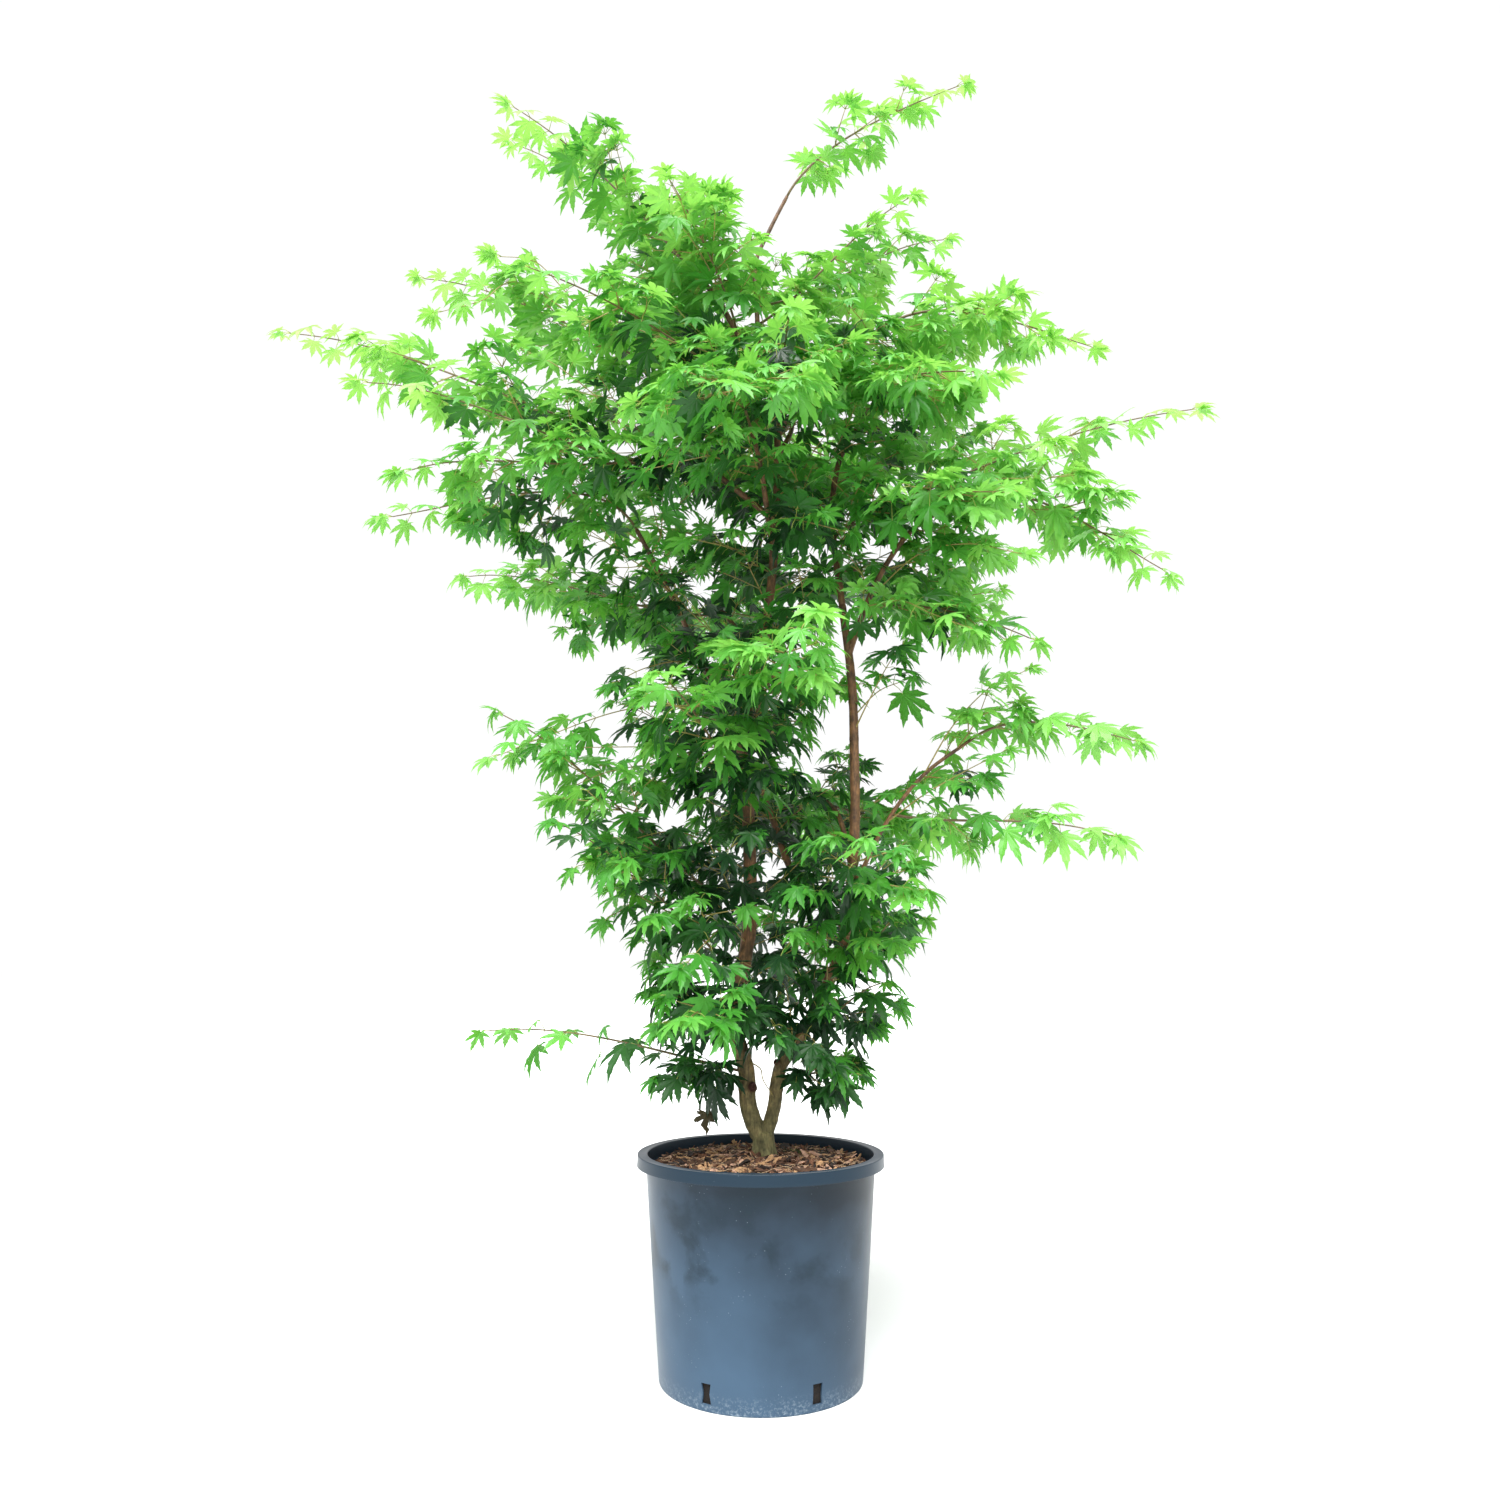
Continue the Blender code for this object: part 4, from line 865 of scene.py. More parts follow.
def moulded_plastic(settings):
    """Injection-moulded polypropylene: satin, scuffed, damp in patches, dusty, with painted shade at
    rim, top and one side.
    """
    material, tree, shader, place = new_material("moulded_polypropylene")
    axes = add_node(tree, "ShaderNodeSeparateXYZ", {0: place})
    height = axes.outputs["Z"]
    # Painted shade: the wall is darker towards its top, which the rim and crown shade, and to the side
    # away from the light, in drifting clouds
    clouds = add_node(tree, "ShaderNodeTexNoise", {"Vector": place, "Scale": 8.0, "Detail": 4.0})
    side_shade = add_node(tree, "ShaderNodeMath", {0: axes.outputs["X"], 1: 1.7, 2: clouds},
                     operation="MULTIPLY_ADD")
    rise = add_node(tree, "ShaderNodeMath", {0: height, 1: 3.0, 2: side_shade}, operation="MULTIPLY_ADD")
    painted_shade_mask = add_node(tree, "ShaderNodeMapRange", {0: rise, 1: 0.50, 2: 1.50})
    shade = dimmed(settings.plastic, 0.17)
    wall = add_node(tree, "ShaderNodeMix", {0: painted_shade_mask, 6: settings.plastic, 7: shade}, data_type="RGBA")
    # Damp patches, 30 to 60 mm across, with ragged edges, in the upper two thirds
    patches = add_node(tree, "ShaderNodeTexNoise", {"Vector": place, "Scale": 15.0, "Detail": 5.0,
                                                    "Roughness": 0.58, "Distortion": 0.3})
    patch = add_node(tree, "ShaderNodeMapRange", {0: patches, 1: 0.52, 2: 0.66, 3: 0.0, 4: 0.72})
    upper = add_node(tree, "ShaderNodeMapRange", {0: height, 1: 0.11, 2: 0.17})
    damp = add_node(tree, "ShaderNodeMath", {0: patch, 1: upper}, operation="MULTIPLY")
    wall = add_node(tree, "ShaderNodeMix", {0: damp, 6: wall, 7: settings.smudge}, data_type="RGBA")
    # Painted shade: the flange and skirt are darker, as the wall's top is
    skirt_bottom = POT_HEIGHT - RIM_SKIRT
    rim = add_node(tree, "ShaderNodeMapRange", {0: height, 1: skirt_bottom - 0.0015,
                                                2: skirt_bottom + 0.0015})
    body = add_node(tree, "ShaderNodeMix", {0: rim, 6: wall, 7: settings.rim}, data_type="RGBA")
    # Lime specks about 1 mm across, and splashed dust that fades out 26 mm above the foot
    specks = add_node(tree, "ShaderNodeTexVoronoi", {"Vector": place, "Scale": 190.0})
    speck = add_node(tree, "ShaderNodeMapRange", {0: specks, 1: 0.12, 2: 0.06, 3: 0.0, 4: 0.8})
    thin = add_node(tree, "ShaderNodeTexNoise", {"Vector": place, "Scale": 26.0, "Detail": 2.0})
    some = add_node(tree, "ShaderNodeMapRange", {0: thin, 1: 0.55, 2: 0.66, 3: 0.0, 4: 0.9})
    speckled = add_node(tree, "ShaderNodeMath", {0: speck, 1: some}, operation="MULTIPLY")
    low = add_node(tree, "ShaderNodeMapRange", {0: height, 1: 0.026, 2: 0.003})
    streaks = add_node(tree, "ShaderNodeTexNoise", {"Vector": place, "Scale": 230.0, "Detail": 4.0,
                                                    "Roughness": 0.75})
    streak = add_node(tree, "ShaderNodeMapRange", {0: streaks, 1: 0.50, 2: 0.66, 3: 0.0, 4: 0.80})
    splash = add_node(tree, "ShaderNodeMath", {0: low, 1: streak}, operation="MULTIPLY")
    dusty = add_node(tree, "ShaderNodeMath", {0: speckled, 1: splash}, operation="MAXIMUM")
    skin = add_node(tree, "ShaderNodeMix", {0: dusty, 6: body, 7: settings.dust}, data_type="RGBA")
    # Satin, and matt under the dust. The moulded grain is drawn 2 mm wide, coarser than it is
    rough = add_node(tree, "ShaderNodeMapRange", {0: clouds, 1: 0.3, 2: 0.7, 3: 0.28, 4: 0.42})
    rougher = add_node(tree, "ShaderNodeMath", {0: rough, 1: dusty}, operation="MAXIMUM")
    grain = add_node(tree, "ShaderNodeTexNoise", {"Vector": place, "Scale": 420.0, "Detail": 2.0})
    bump = add_node(tree, "ShaderNodeBump", {"Height": grain, "Strength": 0.12, "Distance": 0.0004})
    set_inputs(tree, shader, {"Base Color": skin, "Roughness": rougher, "Normal": bump, "IOR": 1.49,
                              "Specular IOR Level": 0.22})
    return material


def build_pot(settings):
    """The pot as one turned skin, from its foot over the flange and down inside, with its slots."""
    skirt_bottom = POT_HEIGHT - RIM_SKIRT
    skirt_inside = POT_RIM_RADIUS - RIM_WALL
    skirt_edge = POT_RIM_RADIUS - SKIRT_ROUND
    flange_under = POT_HEIGHT - RIM_WALL
    flange_top = POT_HEIGHT - FLANGE_DISH
    inner_top = wall_radius(POT_HEIGHT) - POT_WALL
    rim_edge = POT_RIM_RADIUS - RIM_ROUND
    steps = 8
    below = flange_under - 2 * FLANGE_FILLET
    profile = rounded(POT_BASE_RADIUS - FOOT_ROUND, FOOT_ROUND, FOOT_ROUND, -90, 0)
    profile += [(wall_radius(height), height) for height in
                (FOOT_ROUND + (flange_under - FOOT_ROUND) * step / steps for step in range(1, steps))]
    profile += [(wall_radius(below), below),
                (wall_radius(flange_under) + FLANGE_FILLET, flange_under),
                (skirt_inside - FLANGE_FILLET, flange_under),
                (skirt_inside, flange_under - FLANGE_FILLET),
                (skirt_inside, skirt_bottom + SKIRT_CHAMFER),
                (skirt_inside + SKIRT_CHAMFER, skirt_bottom)]
    profile += rounded(skirt_edge, skirt_bottom + SKIRT_ROUND, SKIRT_ROUND, -90, 0)
    profile += [(skirt_edge, skirt_bottom + SKIRT_LIP)]
    profile += rounded(rim_edge - SKIRT_ROUND, POT_HEIGHT - RIM_ROUND, RIM_ROUND, 0, 90)
    profile += [(rim_edge - FLANGE_EDGE, flange_top), (inner_top + FLANGE_EDGE, flange_top)]
    profile += rounded(inner_top + MOUTH_ROUND, POT_HEIGHT - MOUTH_ROUND, MOUTH_ROUND, 90, 180)
    top = POT_HEIGHT - INNER_TOP
    profile += [(wall_radius(height) - POT_WALL, height) for height in
                (top - (top - POT_FLOOR) * step / steps for step in range(steps + 1))]
    piece = turned(profile, POT_SEGMENTS)
    cutter = slot_cutter()
    cut = piece.modifiers.new("Slots", "BOOLEAN")
    cut.operation = "DIFFERENCE"
    cut.object = cutter
    apply_modifiers(piece)
    bpy.data.objects.remove(cutter)
    shade_by_angle(piece, 40)
    finish_piece(piece, "moulded_pot", moulded_plastic(settings), "pot_plastic", "pot")


# ---------------------------------------------------------------- soil and bark chips


def mulch_height(radius):
    """The mulch's surface, level by the trunk and falling towards the wall."""
    edge = wall_radius(MULCH_EDGE) - POT_WALL
    share = clamp((radius - MULCH_FLAT) / (edge - MULCH_FLAT), 0.0, 1.0)
    return MULCH_TOP - (MULCH_TOP - MULCH_EDGE) * share ** MULCH_CURVE


def moist_peat(settings):
    """Moist peat and fine bark: near black-brown and matt, with paler crumbs about 4 mm across. It is
    darkened further, as painted shade, so that the soil seen through the drainage slots stays dark.
    """
    material, tree, shader, place = new_material("moist_peat")
    crumbs = add_node(tree, "ShaderNodeTexNoise", {"Vector": place, "Scale": 240.0, "Detail": 6.0,
                                                   "Roughness": 0.7})
    tone = add_node(tree, "ShaderNodeValToRGB", {0: crumbs})
    set_ramp(tone, (0.38, dimmed(settings.soil, 0.20)), (0.72, dimmed(settings.soil, 0.9)))
    bump = add_node(tree, "ShaderNodeBump", {"Height": crumbs, "Strength": 0.8, "Distance": 0.002})
    set_inputs(tree, shader, {"Base Color": tone, "Normal": bump, "Roughness": 0.95})
    return material


def build_soil(settings):
    """The soil that fills the pot, its top lumpy under the chips."""
    edge = wall_radius(MULCH_EDGE) - POT_WALL - SOIL_CLEARANCE
    bottom = POT_FLOOR + SOIL_CLEARANCE
    profile = [(wall_radius(bottom) - POT_WALL - SOIL_CLEARANCE, bottom),
               (edge, MULCH_EDGE - SOIL_SINK)]
    rings = round(edge / SOIL_RING)
    for ring in range(1, rings):
        radius = edge * (1 - ring / rings)
        profile.append((radius, mulch_height(radius) - SOIL_SINK))
    piece = turned(profile, POT_SEGMENTS)
    for vertex in piece.data.vertices:
        radius = math.hypot(vertex.co.x, vertex.co.y)
        if vertex.co.z > MULCH_EDGE - 2 * SOIL_SINK and radius < edge * 0.98:
            vertex.co.z += SOIL_LUMP * noise.noise(vertex.co * SOIL_LUMP_SCALE)
    shade_by_angle(piece, 60)
    finish_piece(piece, "potting_soil", moist_peat(settings), "mulch", "mulch")


def chip_form(corners, width, thickness, curl, rng):
    """One flake of bark, a unit long: a prism with a ragged outline, bent along its length."""
    deselect()
    bpy.ops.mesh.primitive_cylinder_add(vertices=corners, radius=0.5, depth=thickness)
    piece = bpy.context.object
    ragged = [rng.uniform(*CHIP_RAGGED) for _ in range(corners)]
    for vertex in piece.data.vertices:
        turn = round((math.atan2(vertex.co.y, vertex.co.x) / math.tau) * corners) % corners
        slant = rng.uniform(*CHIP_SLANT) if vertex.co.z > 0 else 1.0
        vertex.co.x *= ragged[turn] * slant
        vertex.co.y *= ragged[turn] * slant * width
        vertex.co.z += curl * vertex.co.x ** 2 + rng.uniform(-CHIP_WARP, CHIP_WARP)
    points = np.array([vertex.co for vertex in piece.data.vertices])
    faces = [tuple(face.vertices) for face in piece.data.polygons]
    bpy.data.objects.remove(piece)
    return points, faces


def bark_chip(name, base):
    """Composted pine bark: corky, matt, darker in its cracks, which lie about 3 mm apart."""
    material, tree, shader, place = new_material(f"pine_bark_{name}")
    grain = add_node(tree, "ShaderNodeTexNoise", {"Vector": place, "Scale": 300.0, "Detail": 5.0,
                                                  "Roughness": 0.65})
    tone = add_node(tree, "ShaderNodeValToRGB", {0: grain})
    set_ramp(tone, (0.34, dimmed(base, 0.45)), (0.62, dimmed(base, 1.25)))
    bump = add_node(tree, "ShaderNodeBump", {"Height": grain, "Strength": 0.5, "Distance": 0.001})
    set_inputs(tree, shader, {"Base Color": tone, "Normal": bump, "Roughness": 0.88})
    return material


def build_chips(settings):
    """Bark chips, strewn over the soil and joined by tone."""
    rng = random.Random(CHIP_SEED)
    forms = [chip_form(*form, rng) for form in CHIP_FORMS]
    reach = wall_radius(MULCH_EDGE) - POT_WALL - CHIP_CLEARANCE
    strewn = {tone: ([], [], []) for tone in CHIP_TONES}
    trunk = Vector((TRUNK_X, TRUNK_Y))
    made = 0
    while made < settings.chips:
        length = settings.chip_length * clamp(rng.lognormvariate(0.0, CHIP_SPREAD), *CHIP_LENGTHS)
        radius = (reach - length * 0.5) * math.sqrt(rng.random())
        turn = rng.uniform(0.0, math.tau)
        spot = Vector((radius * math.cos(turn), radius * math.sin(turn)))
        if (spot - trunk).length < TRUNK_WAIST_RADIUS + 0.3 * length:
            continue
        lift = rng.uniform(*CHIP_LIFT)
        steep = rng.random() >= 1.0 - CHIP_STEEP_SHARE
        tilt = math.radians(rng.uniform(*CHIP_STEEP) if steep else abs(rng.gauss(0.0, CHIP_TILT)))
        place = (Matrix.Translation((spot.x, spot.y, mulch_height(radius) + lift))
                 @ Matrix.Rotation(rng.uniform(0, math.tau), 4, "Z") @ Matrix.Rotation(tilt, 4, "Y")
                 @ Matrix.Rotation(rng.uniform(-CHIP_ROLL, CHIP_ROLL), 4, "X")
                 @ Matrix.Diagonal((length, length * rng.uniform(*CHIP_WIDTHS),
                                    length * rng.uniform(*CHIP_THICKNESSES), 1.0)))
        points, faces = rng.choice(forms)
        tone = rng.choices(CHIP_TONES, weights=CHIP_SHARES)[0]
        strewn_points, corners, sizes = strewn[tone]
        first = len(strewn_points)
        strewn_points += [tuple(place @ Vector(point)) for point in points]
        for face in faces:
            corners += [first + corner for corner in face]
            sizes.append(len(face))
        made += 1
    for tone, (points, corners, sizes) in strewn.items():
        piece = mesh_piece(f"bark_chips_{tone}", points, corners, sizes)
        piece.data.shade_flat()
        finish_piece(piece, f"bark_chips_{tone}", bark_chip(tone, getattr(settings, tone)), "mulch")


def build_fibres(settings):
    """Thin loose fibres of bark and root, lying bent over the chips."""
    rng = random.Random(FIBRE_SEED)
    reach = wall_radius(MULCH_EDGE) - POT_WALL - FIBRE_CLEARANCE
    tubes = Tubes(3)
    for _ in range(FIBRES):
        radius = reach * math.sqrt(rng.random())
        turn, way = rng.uniform(0, math.tau), rng.uniform(0, math.tau)
        step = rng.uniform(*FIBRE_STEPS)
        bend = rng.uniform(-FIBRE_BEND, FIBRE_BEND)
        x, y = radius * math.cos(turn), radius * math.sin(turn)
        points = []
        for _ in range(FIBRE_POINTS):
            if math.hypot(x, y) > reach:
                break
            lift = rng.uniform(*FIBRE_LIFT)
            points.append(Vector((x, y, mulch_height(math.hypot(x, y)) + lift)))
            way += bend
            x, y = x + step * math.cos(way), y + step * math.sin(way)
        if len(points) > 2 and (points[0].xy - Vector((TRUNK_X, TRUNK_Y))).length > FIBRE_FREE:
            tubes.add(points, [FIBRE_RADIUS] * len(points))
    piece = tubes.piece("bark_fibres")
    finish_piece(piece, "bark_fibres", bark_chip("fibre", settings.fibre), "mulch")


def cushion_moss(settings):
    """Cushion moss: soft and matt, from olive to yellow-green over about 3 mm."""
    material, tree, shader, place = new_material("cushion_moss")
    tones = add_node(tree, "ShaderNodeTexNoise", {"Vector": place, "Scale": 300.0, "Detail": 2.0})
    tone = add_node(tree, "ShaderNodeMix", {0: tones, 6: settings.moss_dark, 7: settings.moss_light},
                    data_type="RGBA")
    set_inputs(tree, shader, {"Base Color": tone, "Roughness": 0.9})
    return material


def build_moss(settings):
    """Cushions of moss by the trunk's foot and among the chips, tuft by tuft."""
    rng = random.Random(MOSS_SEED)
    tubes = Tubes(3)
    for x, y, spread, tufts in MOSS_SPOTS:
        for _ in range(tufts):
            away = Vector((rng.gauss(0.0, 0.5), rng.gauss(0.0, 0.5), 0.0)) * spread
            lean = Vector((rng.gauss(0.0, 0.35), rng.gauss(0.0, 0.35), 1.0)).normalized()
            ground = mulch_height(math.hypot(x + away.x, y + away.y)) - 0.001
            foot = Vector((x + away.x, y + away.y, ground))
            tall = rng.uniform(*MOSS_HEIGHTS)
            tubes.add([foot, foot + lean * tall], MOSS_RADII)
    piece = tubes.piece("moss_tufts")
    finish_piece(piece, "moss_tufts", cushion_moss(settings), "mulch")


# ---------------------------------------------------------------- trunk and boughs


class Limb:
    """A tapering limb: its centre line, and its radius at foot and tip."""

    def __init__(self, line, foot, tip):
        self.line = line
        self.foot = foot
        self.tip = tip

    def radius(self, share):
        return self.foot + (self.tip - self.foot) * share


def all_limbs():
    """The two arms of the fork, the stems and the boughs."""
    limbs = {}
    crotch = Vector((TRUNK_X, TRUNK_Y, FORK))
    arms = {}
    for stem, (x, y) in ARMS.items():
        radius = STEMS[stem][1]
        start = crotch - UP * ARM_SINK
        end = Vector((x, y, crotch.z + ARM_LENGTH))
        outward = Vector((end.x - start.x, end.y - start.y, 0.0))
        bend = start.lerp(end, 0.5) + outward * ARM_BULGE
        arms[stem] = Limb(smooth((start, bend, end)), radius, radius)
        waypoints, foot, tip = STEMS[stem]
        limbs[stem] = grown_limb(arms[stem], 1.0, waypoints, foot, tip)
    for name, (host, share, waypoints, foot, tip) in BOUGHS.items():
        limbs[name] = grown_limb(limbs[host], share, waypoints, foot, tip)
    return arms, limbs


def grown_limb(host, share, waypoints, foot, tip):
    """A limb that carries on from its host's tip, or starts on its host's centre line."""
    start = host.line.at(share)
    before = start - host.line.direction(1.0) * LEAD_IN if share == 1.0 else None
    return Limb(smooth((start, *waypoints), before=before), foot, tip)


def barked_tube(tubes, limb, collar, seed, step):
    """Add a limb as a tube with ring scars and lumps, flared where it leaves its host."""
    count = max(8, round(limb.line.length / step))
    line = limb.line.spaced(count)
    radii = []
    for length in line.lengths:
        share = length / line.length
        scar = math.exp(-((length % NODE_GAP - NODE_GAP / 2) / RING_WIDTH) ** 2)
        flare = collar * math.exp(-length / COLLAR_LENGTH)
        wave = noise.noise(Vector((length * WAVE_SCALE, seed, 0.0)))
        radii.append(limb.radius(share) * (1.0 + RING_HEIGHT * scar + flare + WAVE_HEIGHT * wave))
    tubes.add(line.points, radii)


def maple_bark(settings):
    """Maple bark: grey-green and finely furrowed low down, smooth, waxy red-brown further up."""
    material, tree, shader, place = new_material("maple_bark")
    height = add_node(tree, "ShaderNodeSeparateXYZ", {0: place}).outputs["Z"]
    stretched = add_node(tree, "ShaderNodeMapping", {"Vector": place, "Scale": (1.0, 1.0, 0.25)})
    # Furrows 3 mm apart that run up the limb, and blotches about 18 mm across
    furrows = add_node(tree, "ShaderNodeTexNoise", {"Vector": stretched, "Scale": 330.0, "Detail": 5.0,
                                                    "Roughness": 0.6})
    blotches = add_node(tree, "ShaderNodeTexNoise", {"Vector": place, "Scale": 55.0, "Detail": 4.0,
                                                     "Roughness": 0.6})
    # The bark turns from old to young between about 0.31 m and 0.61 m up, in blotches
    wander = add_node(tree, "ShaderNodeMath", {0: blotches, 1: 0.22, 2: height},
                      operation="MULTIPLY_ADD")
    age = add_node(tree, "ShaderNodeMapRange", {0: wander, 1: 0.42, 2: 0.72})
    base = add_node(tree, "ShaderNodeMix", {0: age, 6: settings.old, 7: settings.young},
                    data_type="RGBA")
    tone = add_node(tree, "ShaderNodeMapRange", {0: furrows, 1: 0.32, 2: 0.68, 3: 0.50, 4: 1.35})
    patchy = add_node(tree, "ShaderNodeMapRange", {0: blotches, 1: 0.35, 2: 0.65, 3: 0.52, 4: 1.45})
    both = add_node(tree, "ShaderNodeMath", {0: tone, 1: patchy}, operation="MULTIPLY")
    # It darkens from 0.55 m to 0.95 m up
    upper = add_node(tree, "ShaderNodeMapRange", {0: height, 1: 0.55, 2: 0.95, 3: 1.0, 4: 0.68})
    lightness = add_node(tree, "ShaderNodeMath", {0: both, 1: upper}, operation="MULTIPLY")
    skin = add_node(tree, "ShaderNodeVectorMath", {0: base, "Scale": lightness}, operation="SCALE")
    # Dark wood round the knot and on the cut stub
    near = []
    for spot, size in SCARS:
        away = add_node(tree, "ShaderNodeVectorMath", {0: place, 1: spot}, operation="DISTANCE")
        near.append(add_node(tree, "ShaderNodeMapRange", {0: away, 1: size, 2: size * 0.55}))
    scars = add_node(tree, "ShaderNodeMath", {0: near[0], 1: near[1]}, operation="MAXIMUM")
    skin = add_node(tree, "ShaderNodeMix", {0: scars, 6: skin, 7: settings.scar}, data_type="RGBA")
    rough = add_node(tree, "ShaderNodeMapRange", {0: age, 1: 0.0, 2: 1.0, 3: 0.85, 4: 0.62})
    bump = add_node(tree, "ShaderNodeBump", {"Height": furrows, "Strength": 0.5, "Distance": 0.0010})
    set_inputs(tree, shader, {"Base Color": skin, "Roughness": rough, "Normal": bump})
    return material


def build_trunk(settings):
    """The flared foot, the fork and both stems as one skin, with a knot and a pruned stub."""
    arms, limbs = all_limbs()
    tubes = Tubes(TRUNK_SIDES)
    foot = Vector((TRUNK_X, TRUNK_Y, MULCH_TOP - TRUNK_SUNK))
    steps = 10
    centres, radii = [], []
    for step in range(steps + 1):
        height = (FORK - foot.z) * step / steps
        flare = max(0.0, 1.0 - max(height - TRUNK_SUNK, 0.0) / TRUNK_WAIST)
        centres.append(foot + UP * height)
        radii.append(TRUNK_WAIST_RADIUS + (TRUNK_FOOT_RADIUS - TRUNK_WAIST_RADIUS) * flare ** 2)
    tubes.add(centres, radii)
    for stem, arm in arms.items():
        barked_tube(tubes, arm, ARM_COLLAR, len(stem), TRUNK_STEP)
        barked_tube(tubes, limbs[stem], 0.0, len(stem), TRUNK_STEP)
    tubes.add([STUB_FOOT, STUB_FOOT.lerp(STUB_END, 0.5), STUB_END],
              [STUB_RADIUS * share for share in STUB_TAPER])
    tubes.add([KNOT + KNOT_ROOT, KNOT, KNOT + KNOT_FACE],
              [KNOT_RADIUS * share for share in KNOT_TAPER])
    piece = tubes.piece("trunk_skin")
    remesh = piece.modifiers.new("Skin", "REMESH")
    remesh.mode = "VOXEL"
    remesh.voxel_size = TRUNK_VOXEL
    soften = piece.modifiers.new("Soften", "SMOOTH")
    soften.factor = 0.5
    soften.iterations = 4
    apply_modifiers(piece)
    pit_depth, pit_width = KNOT_PIT
    fade_top, fade_over, fade_least = FURROW_FADE
    grain_scale, grain_height = GRAIN

    def relief(place, normal):
        """Furrows that fade upwards, ridges that run down into the roots, and the knot's pit."""
        age = clamp((fade_top - place.z) / fade_over, fade_least, 1.0)
        lumps = noise.noise(place * FURROWS) + grain_height * noise.noise(place * grain_scale)
        depth = settings.relief * age * lumps
        flare = max(0.0, 1.0 - max(place.z - MULCH_TOP, 0.0) / (TRUNK_WAIST * ROOT_RIDGE_RISE))
        side = Vector((place.x, place.y)) - Vector((TRUNK_X, TRUNK_Y))
        if flare > 0.0:
            depth += TRUNK_FOOT_RADIUS * ROOT_RIDGE_DEPTH * flare * math.cos(
                ROOT_RIDGES * math.atan2(side.y, side.x))
        depth -= pit_depth * math.exp(-((place - KNOT - KNOT_FACE).length / pit_width) ** 2)
        return normal * depth

    push_points(piece, relief)
    piece.data.shade_smooth()
    finish_piece(piece, "trunk_and_stems", maple_bark(settings), "bark", "trunk", *STEMS)


def build_boughs(settings):
    """The boughs, each flared into the limb that it leaves."""
    limbs = all_limbs()[1]
    tubes = Tubes(BOUGH_SIDES)
    for seed, name in enumerate(BOUGHS):
        collar = 0.0 if BOUGHS[name][1] == 1.0 else BOUGH_COLLAR
        barked_tube(tubes, limbs[name], collar, seed, BOUGH_STEP)
    piece = tubes.piece("boughs")

    def relief(place, normal):
        return normal * settings.relief * BOUGH_RELIEF * noise.noise(place * BOUGH_LUMPS)

    push_points(piece, relief)
    piece.data.shade_smooth()
    finish_piece(piece, "boughs", bpy.data.materials["maple_bark"], "bark", *BOUGHS)


# ---------------------------------------------------------------- foliage


def leaf_form(lobes):
    """A flat leaf of unit length: points, how far each is from its lobe's rib, and faces."""
    both = sorted(list(lobes) + [(-angle, *rest) for angle, *rest in lobes[1:]])
    points, ribs, faces = [(0.0, 0.0)], [0.0], []

    def add(x, y, rib):
        points.append((x, y))
        ribs.append(rib)
        return len(points) - 1

    def polar(angle, radius, rib):
        turn = math.radians(angle)
        return add(radius * math.cos(turn), radius * math.sin(turn), rib)

    sinuses = [polar(-LEAF_BACK[0], LEAF_BACK[1], 0.03)]
    for (angle, length, *_), (other, other_length, *_) in zip(both, both[1:]):
        depth = SINUS * min(1.0, (length + other_length) / 1.7)
        sinuses.append(polar((angle + other) / 2, depth, 0.08))
    sinuses.append(polar(LEAF_BACK[0], LEAF_BACK[1], 0.03))
    for index, (angle, length, width, teeth) in enumerate(both):
        turn = math.radians(angle)
        ahead = Vector((math.cos(turn), math.sin(turn)))
        left = Vector((-ahead.y, ahead.x))

        def on_lobe(along, across=0.0):
            spot = ahead * along * length + left * across * length
            return add(spot.x, spot.y, abs(across) * length)

        tip = on_lobe(1.0)
        stops = [on_lobe(stop) for stop in RIB_STOPS[:max(teeth, 1)]]
        for side, sinus in ((1, sinuses[index + 1]), (-1, sinuses[index])):
            chain, chains = [0, sinus], []
            for tooth, stop in zip(TEETH[:teeth], stops):
                chain += [on_lobe(along, side * width * across) for along, across in tooth]
                chains.append(chain + [stop])
                chain = [stop, chain[-1]]
            if teeth:
                chains.append(chain + [tip])
            else:
                wide = on_lobe(TEETH[0][0][0], side * width)
                chains.append(chain + [wide, tip, stops[0]])
            for chain in chains:
                faces.append(chain[::-1] if side == 1 else chain)
    return np.array(points), np.array(ribs), faces


class Spaces:
    """Every spray's own space: what is nearer to its stem, for its width, than to others."""

    def __init__(self, lines, limbs):
        starts, spans, owners = [], [], []
        self.names = list(lines)
        for owner, name in enumerate(self.names):
            points = lines[name].spaced(6).points
            for start, end in zip(points, points[1:]):
                starts.append(start)
                spans.append(end - start)
                owners.append(owner)
        self.starts = np.array(starts)
        self.spans = np.array(spans)
        self.widths = np.array([MASSES[self.names[owner]][3] for owner in owners])
        self.firsts = np.searchsorted(owners, range(len(self.names)))
        limb_starts, limb_spans, radii = [], [], []
        for limb in limbs:
            line = limb.line.spaced(max(4, round(limb.line.length / 0.04)))
            for start, end, length in zip(line.points, line.points[1:], line.lengths):
                limb_starts.append(start)
                limb_spans.append(end - start)
                radii.append(limb.radius(length / line.length))
        self.limb_starts = np.array(limb_starts)
        self.limb_spans = np.array(limb_spans)
        self.limb_radii = np.array(radii)

    @staticmethod
    def distances(point, starts, spans):
        """From a point to each of many straight spans."""
        away = np.asarray(point) - starts
        shares = np.clip((away * spans).sum(1) / (spans * spans).sum(1), 0.0, 1.0)
        return np.linalg.norm(away - spans * shares[:, None], axis=1)

    def fits(self, name, point, reach=1.0):
        """Whether a point is in the spray's own space, within reach times its half width."""
        owner = self.names.index(name)
        away = self.distances(point, self.starts, self.spans) / self.widths
        near = np.minimum.reduceat(away, self.firsts)
        own = near[owner]
        near[owner] = np.inf
        return own <= reach and own * SPACE_MARGIN <= near.min()

    def clear(self, point):
        """Whether a point stands clear of every limb."""
        return (self.distances(point, self.limb_starts, self.limb_spans)
                - self.limb_radii).min() > LIMB_CLEARANCE


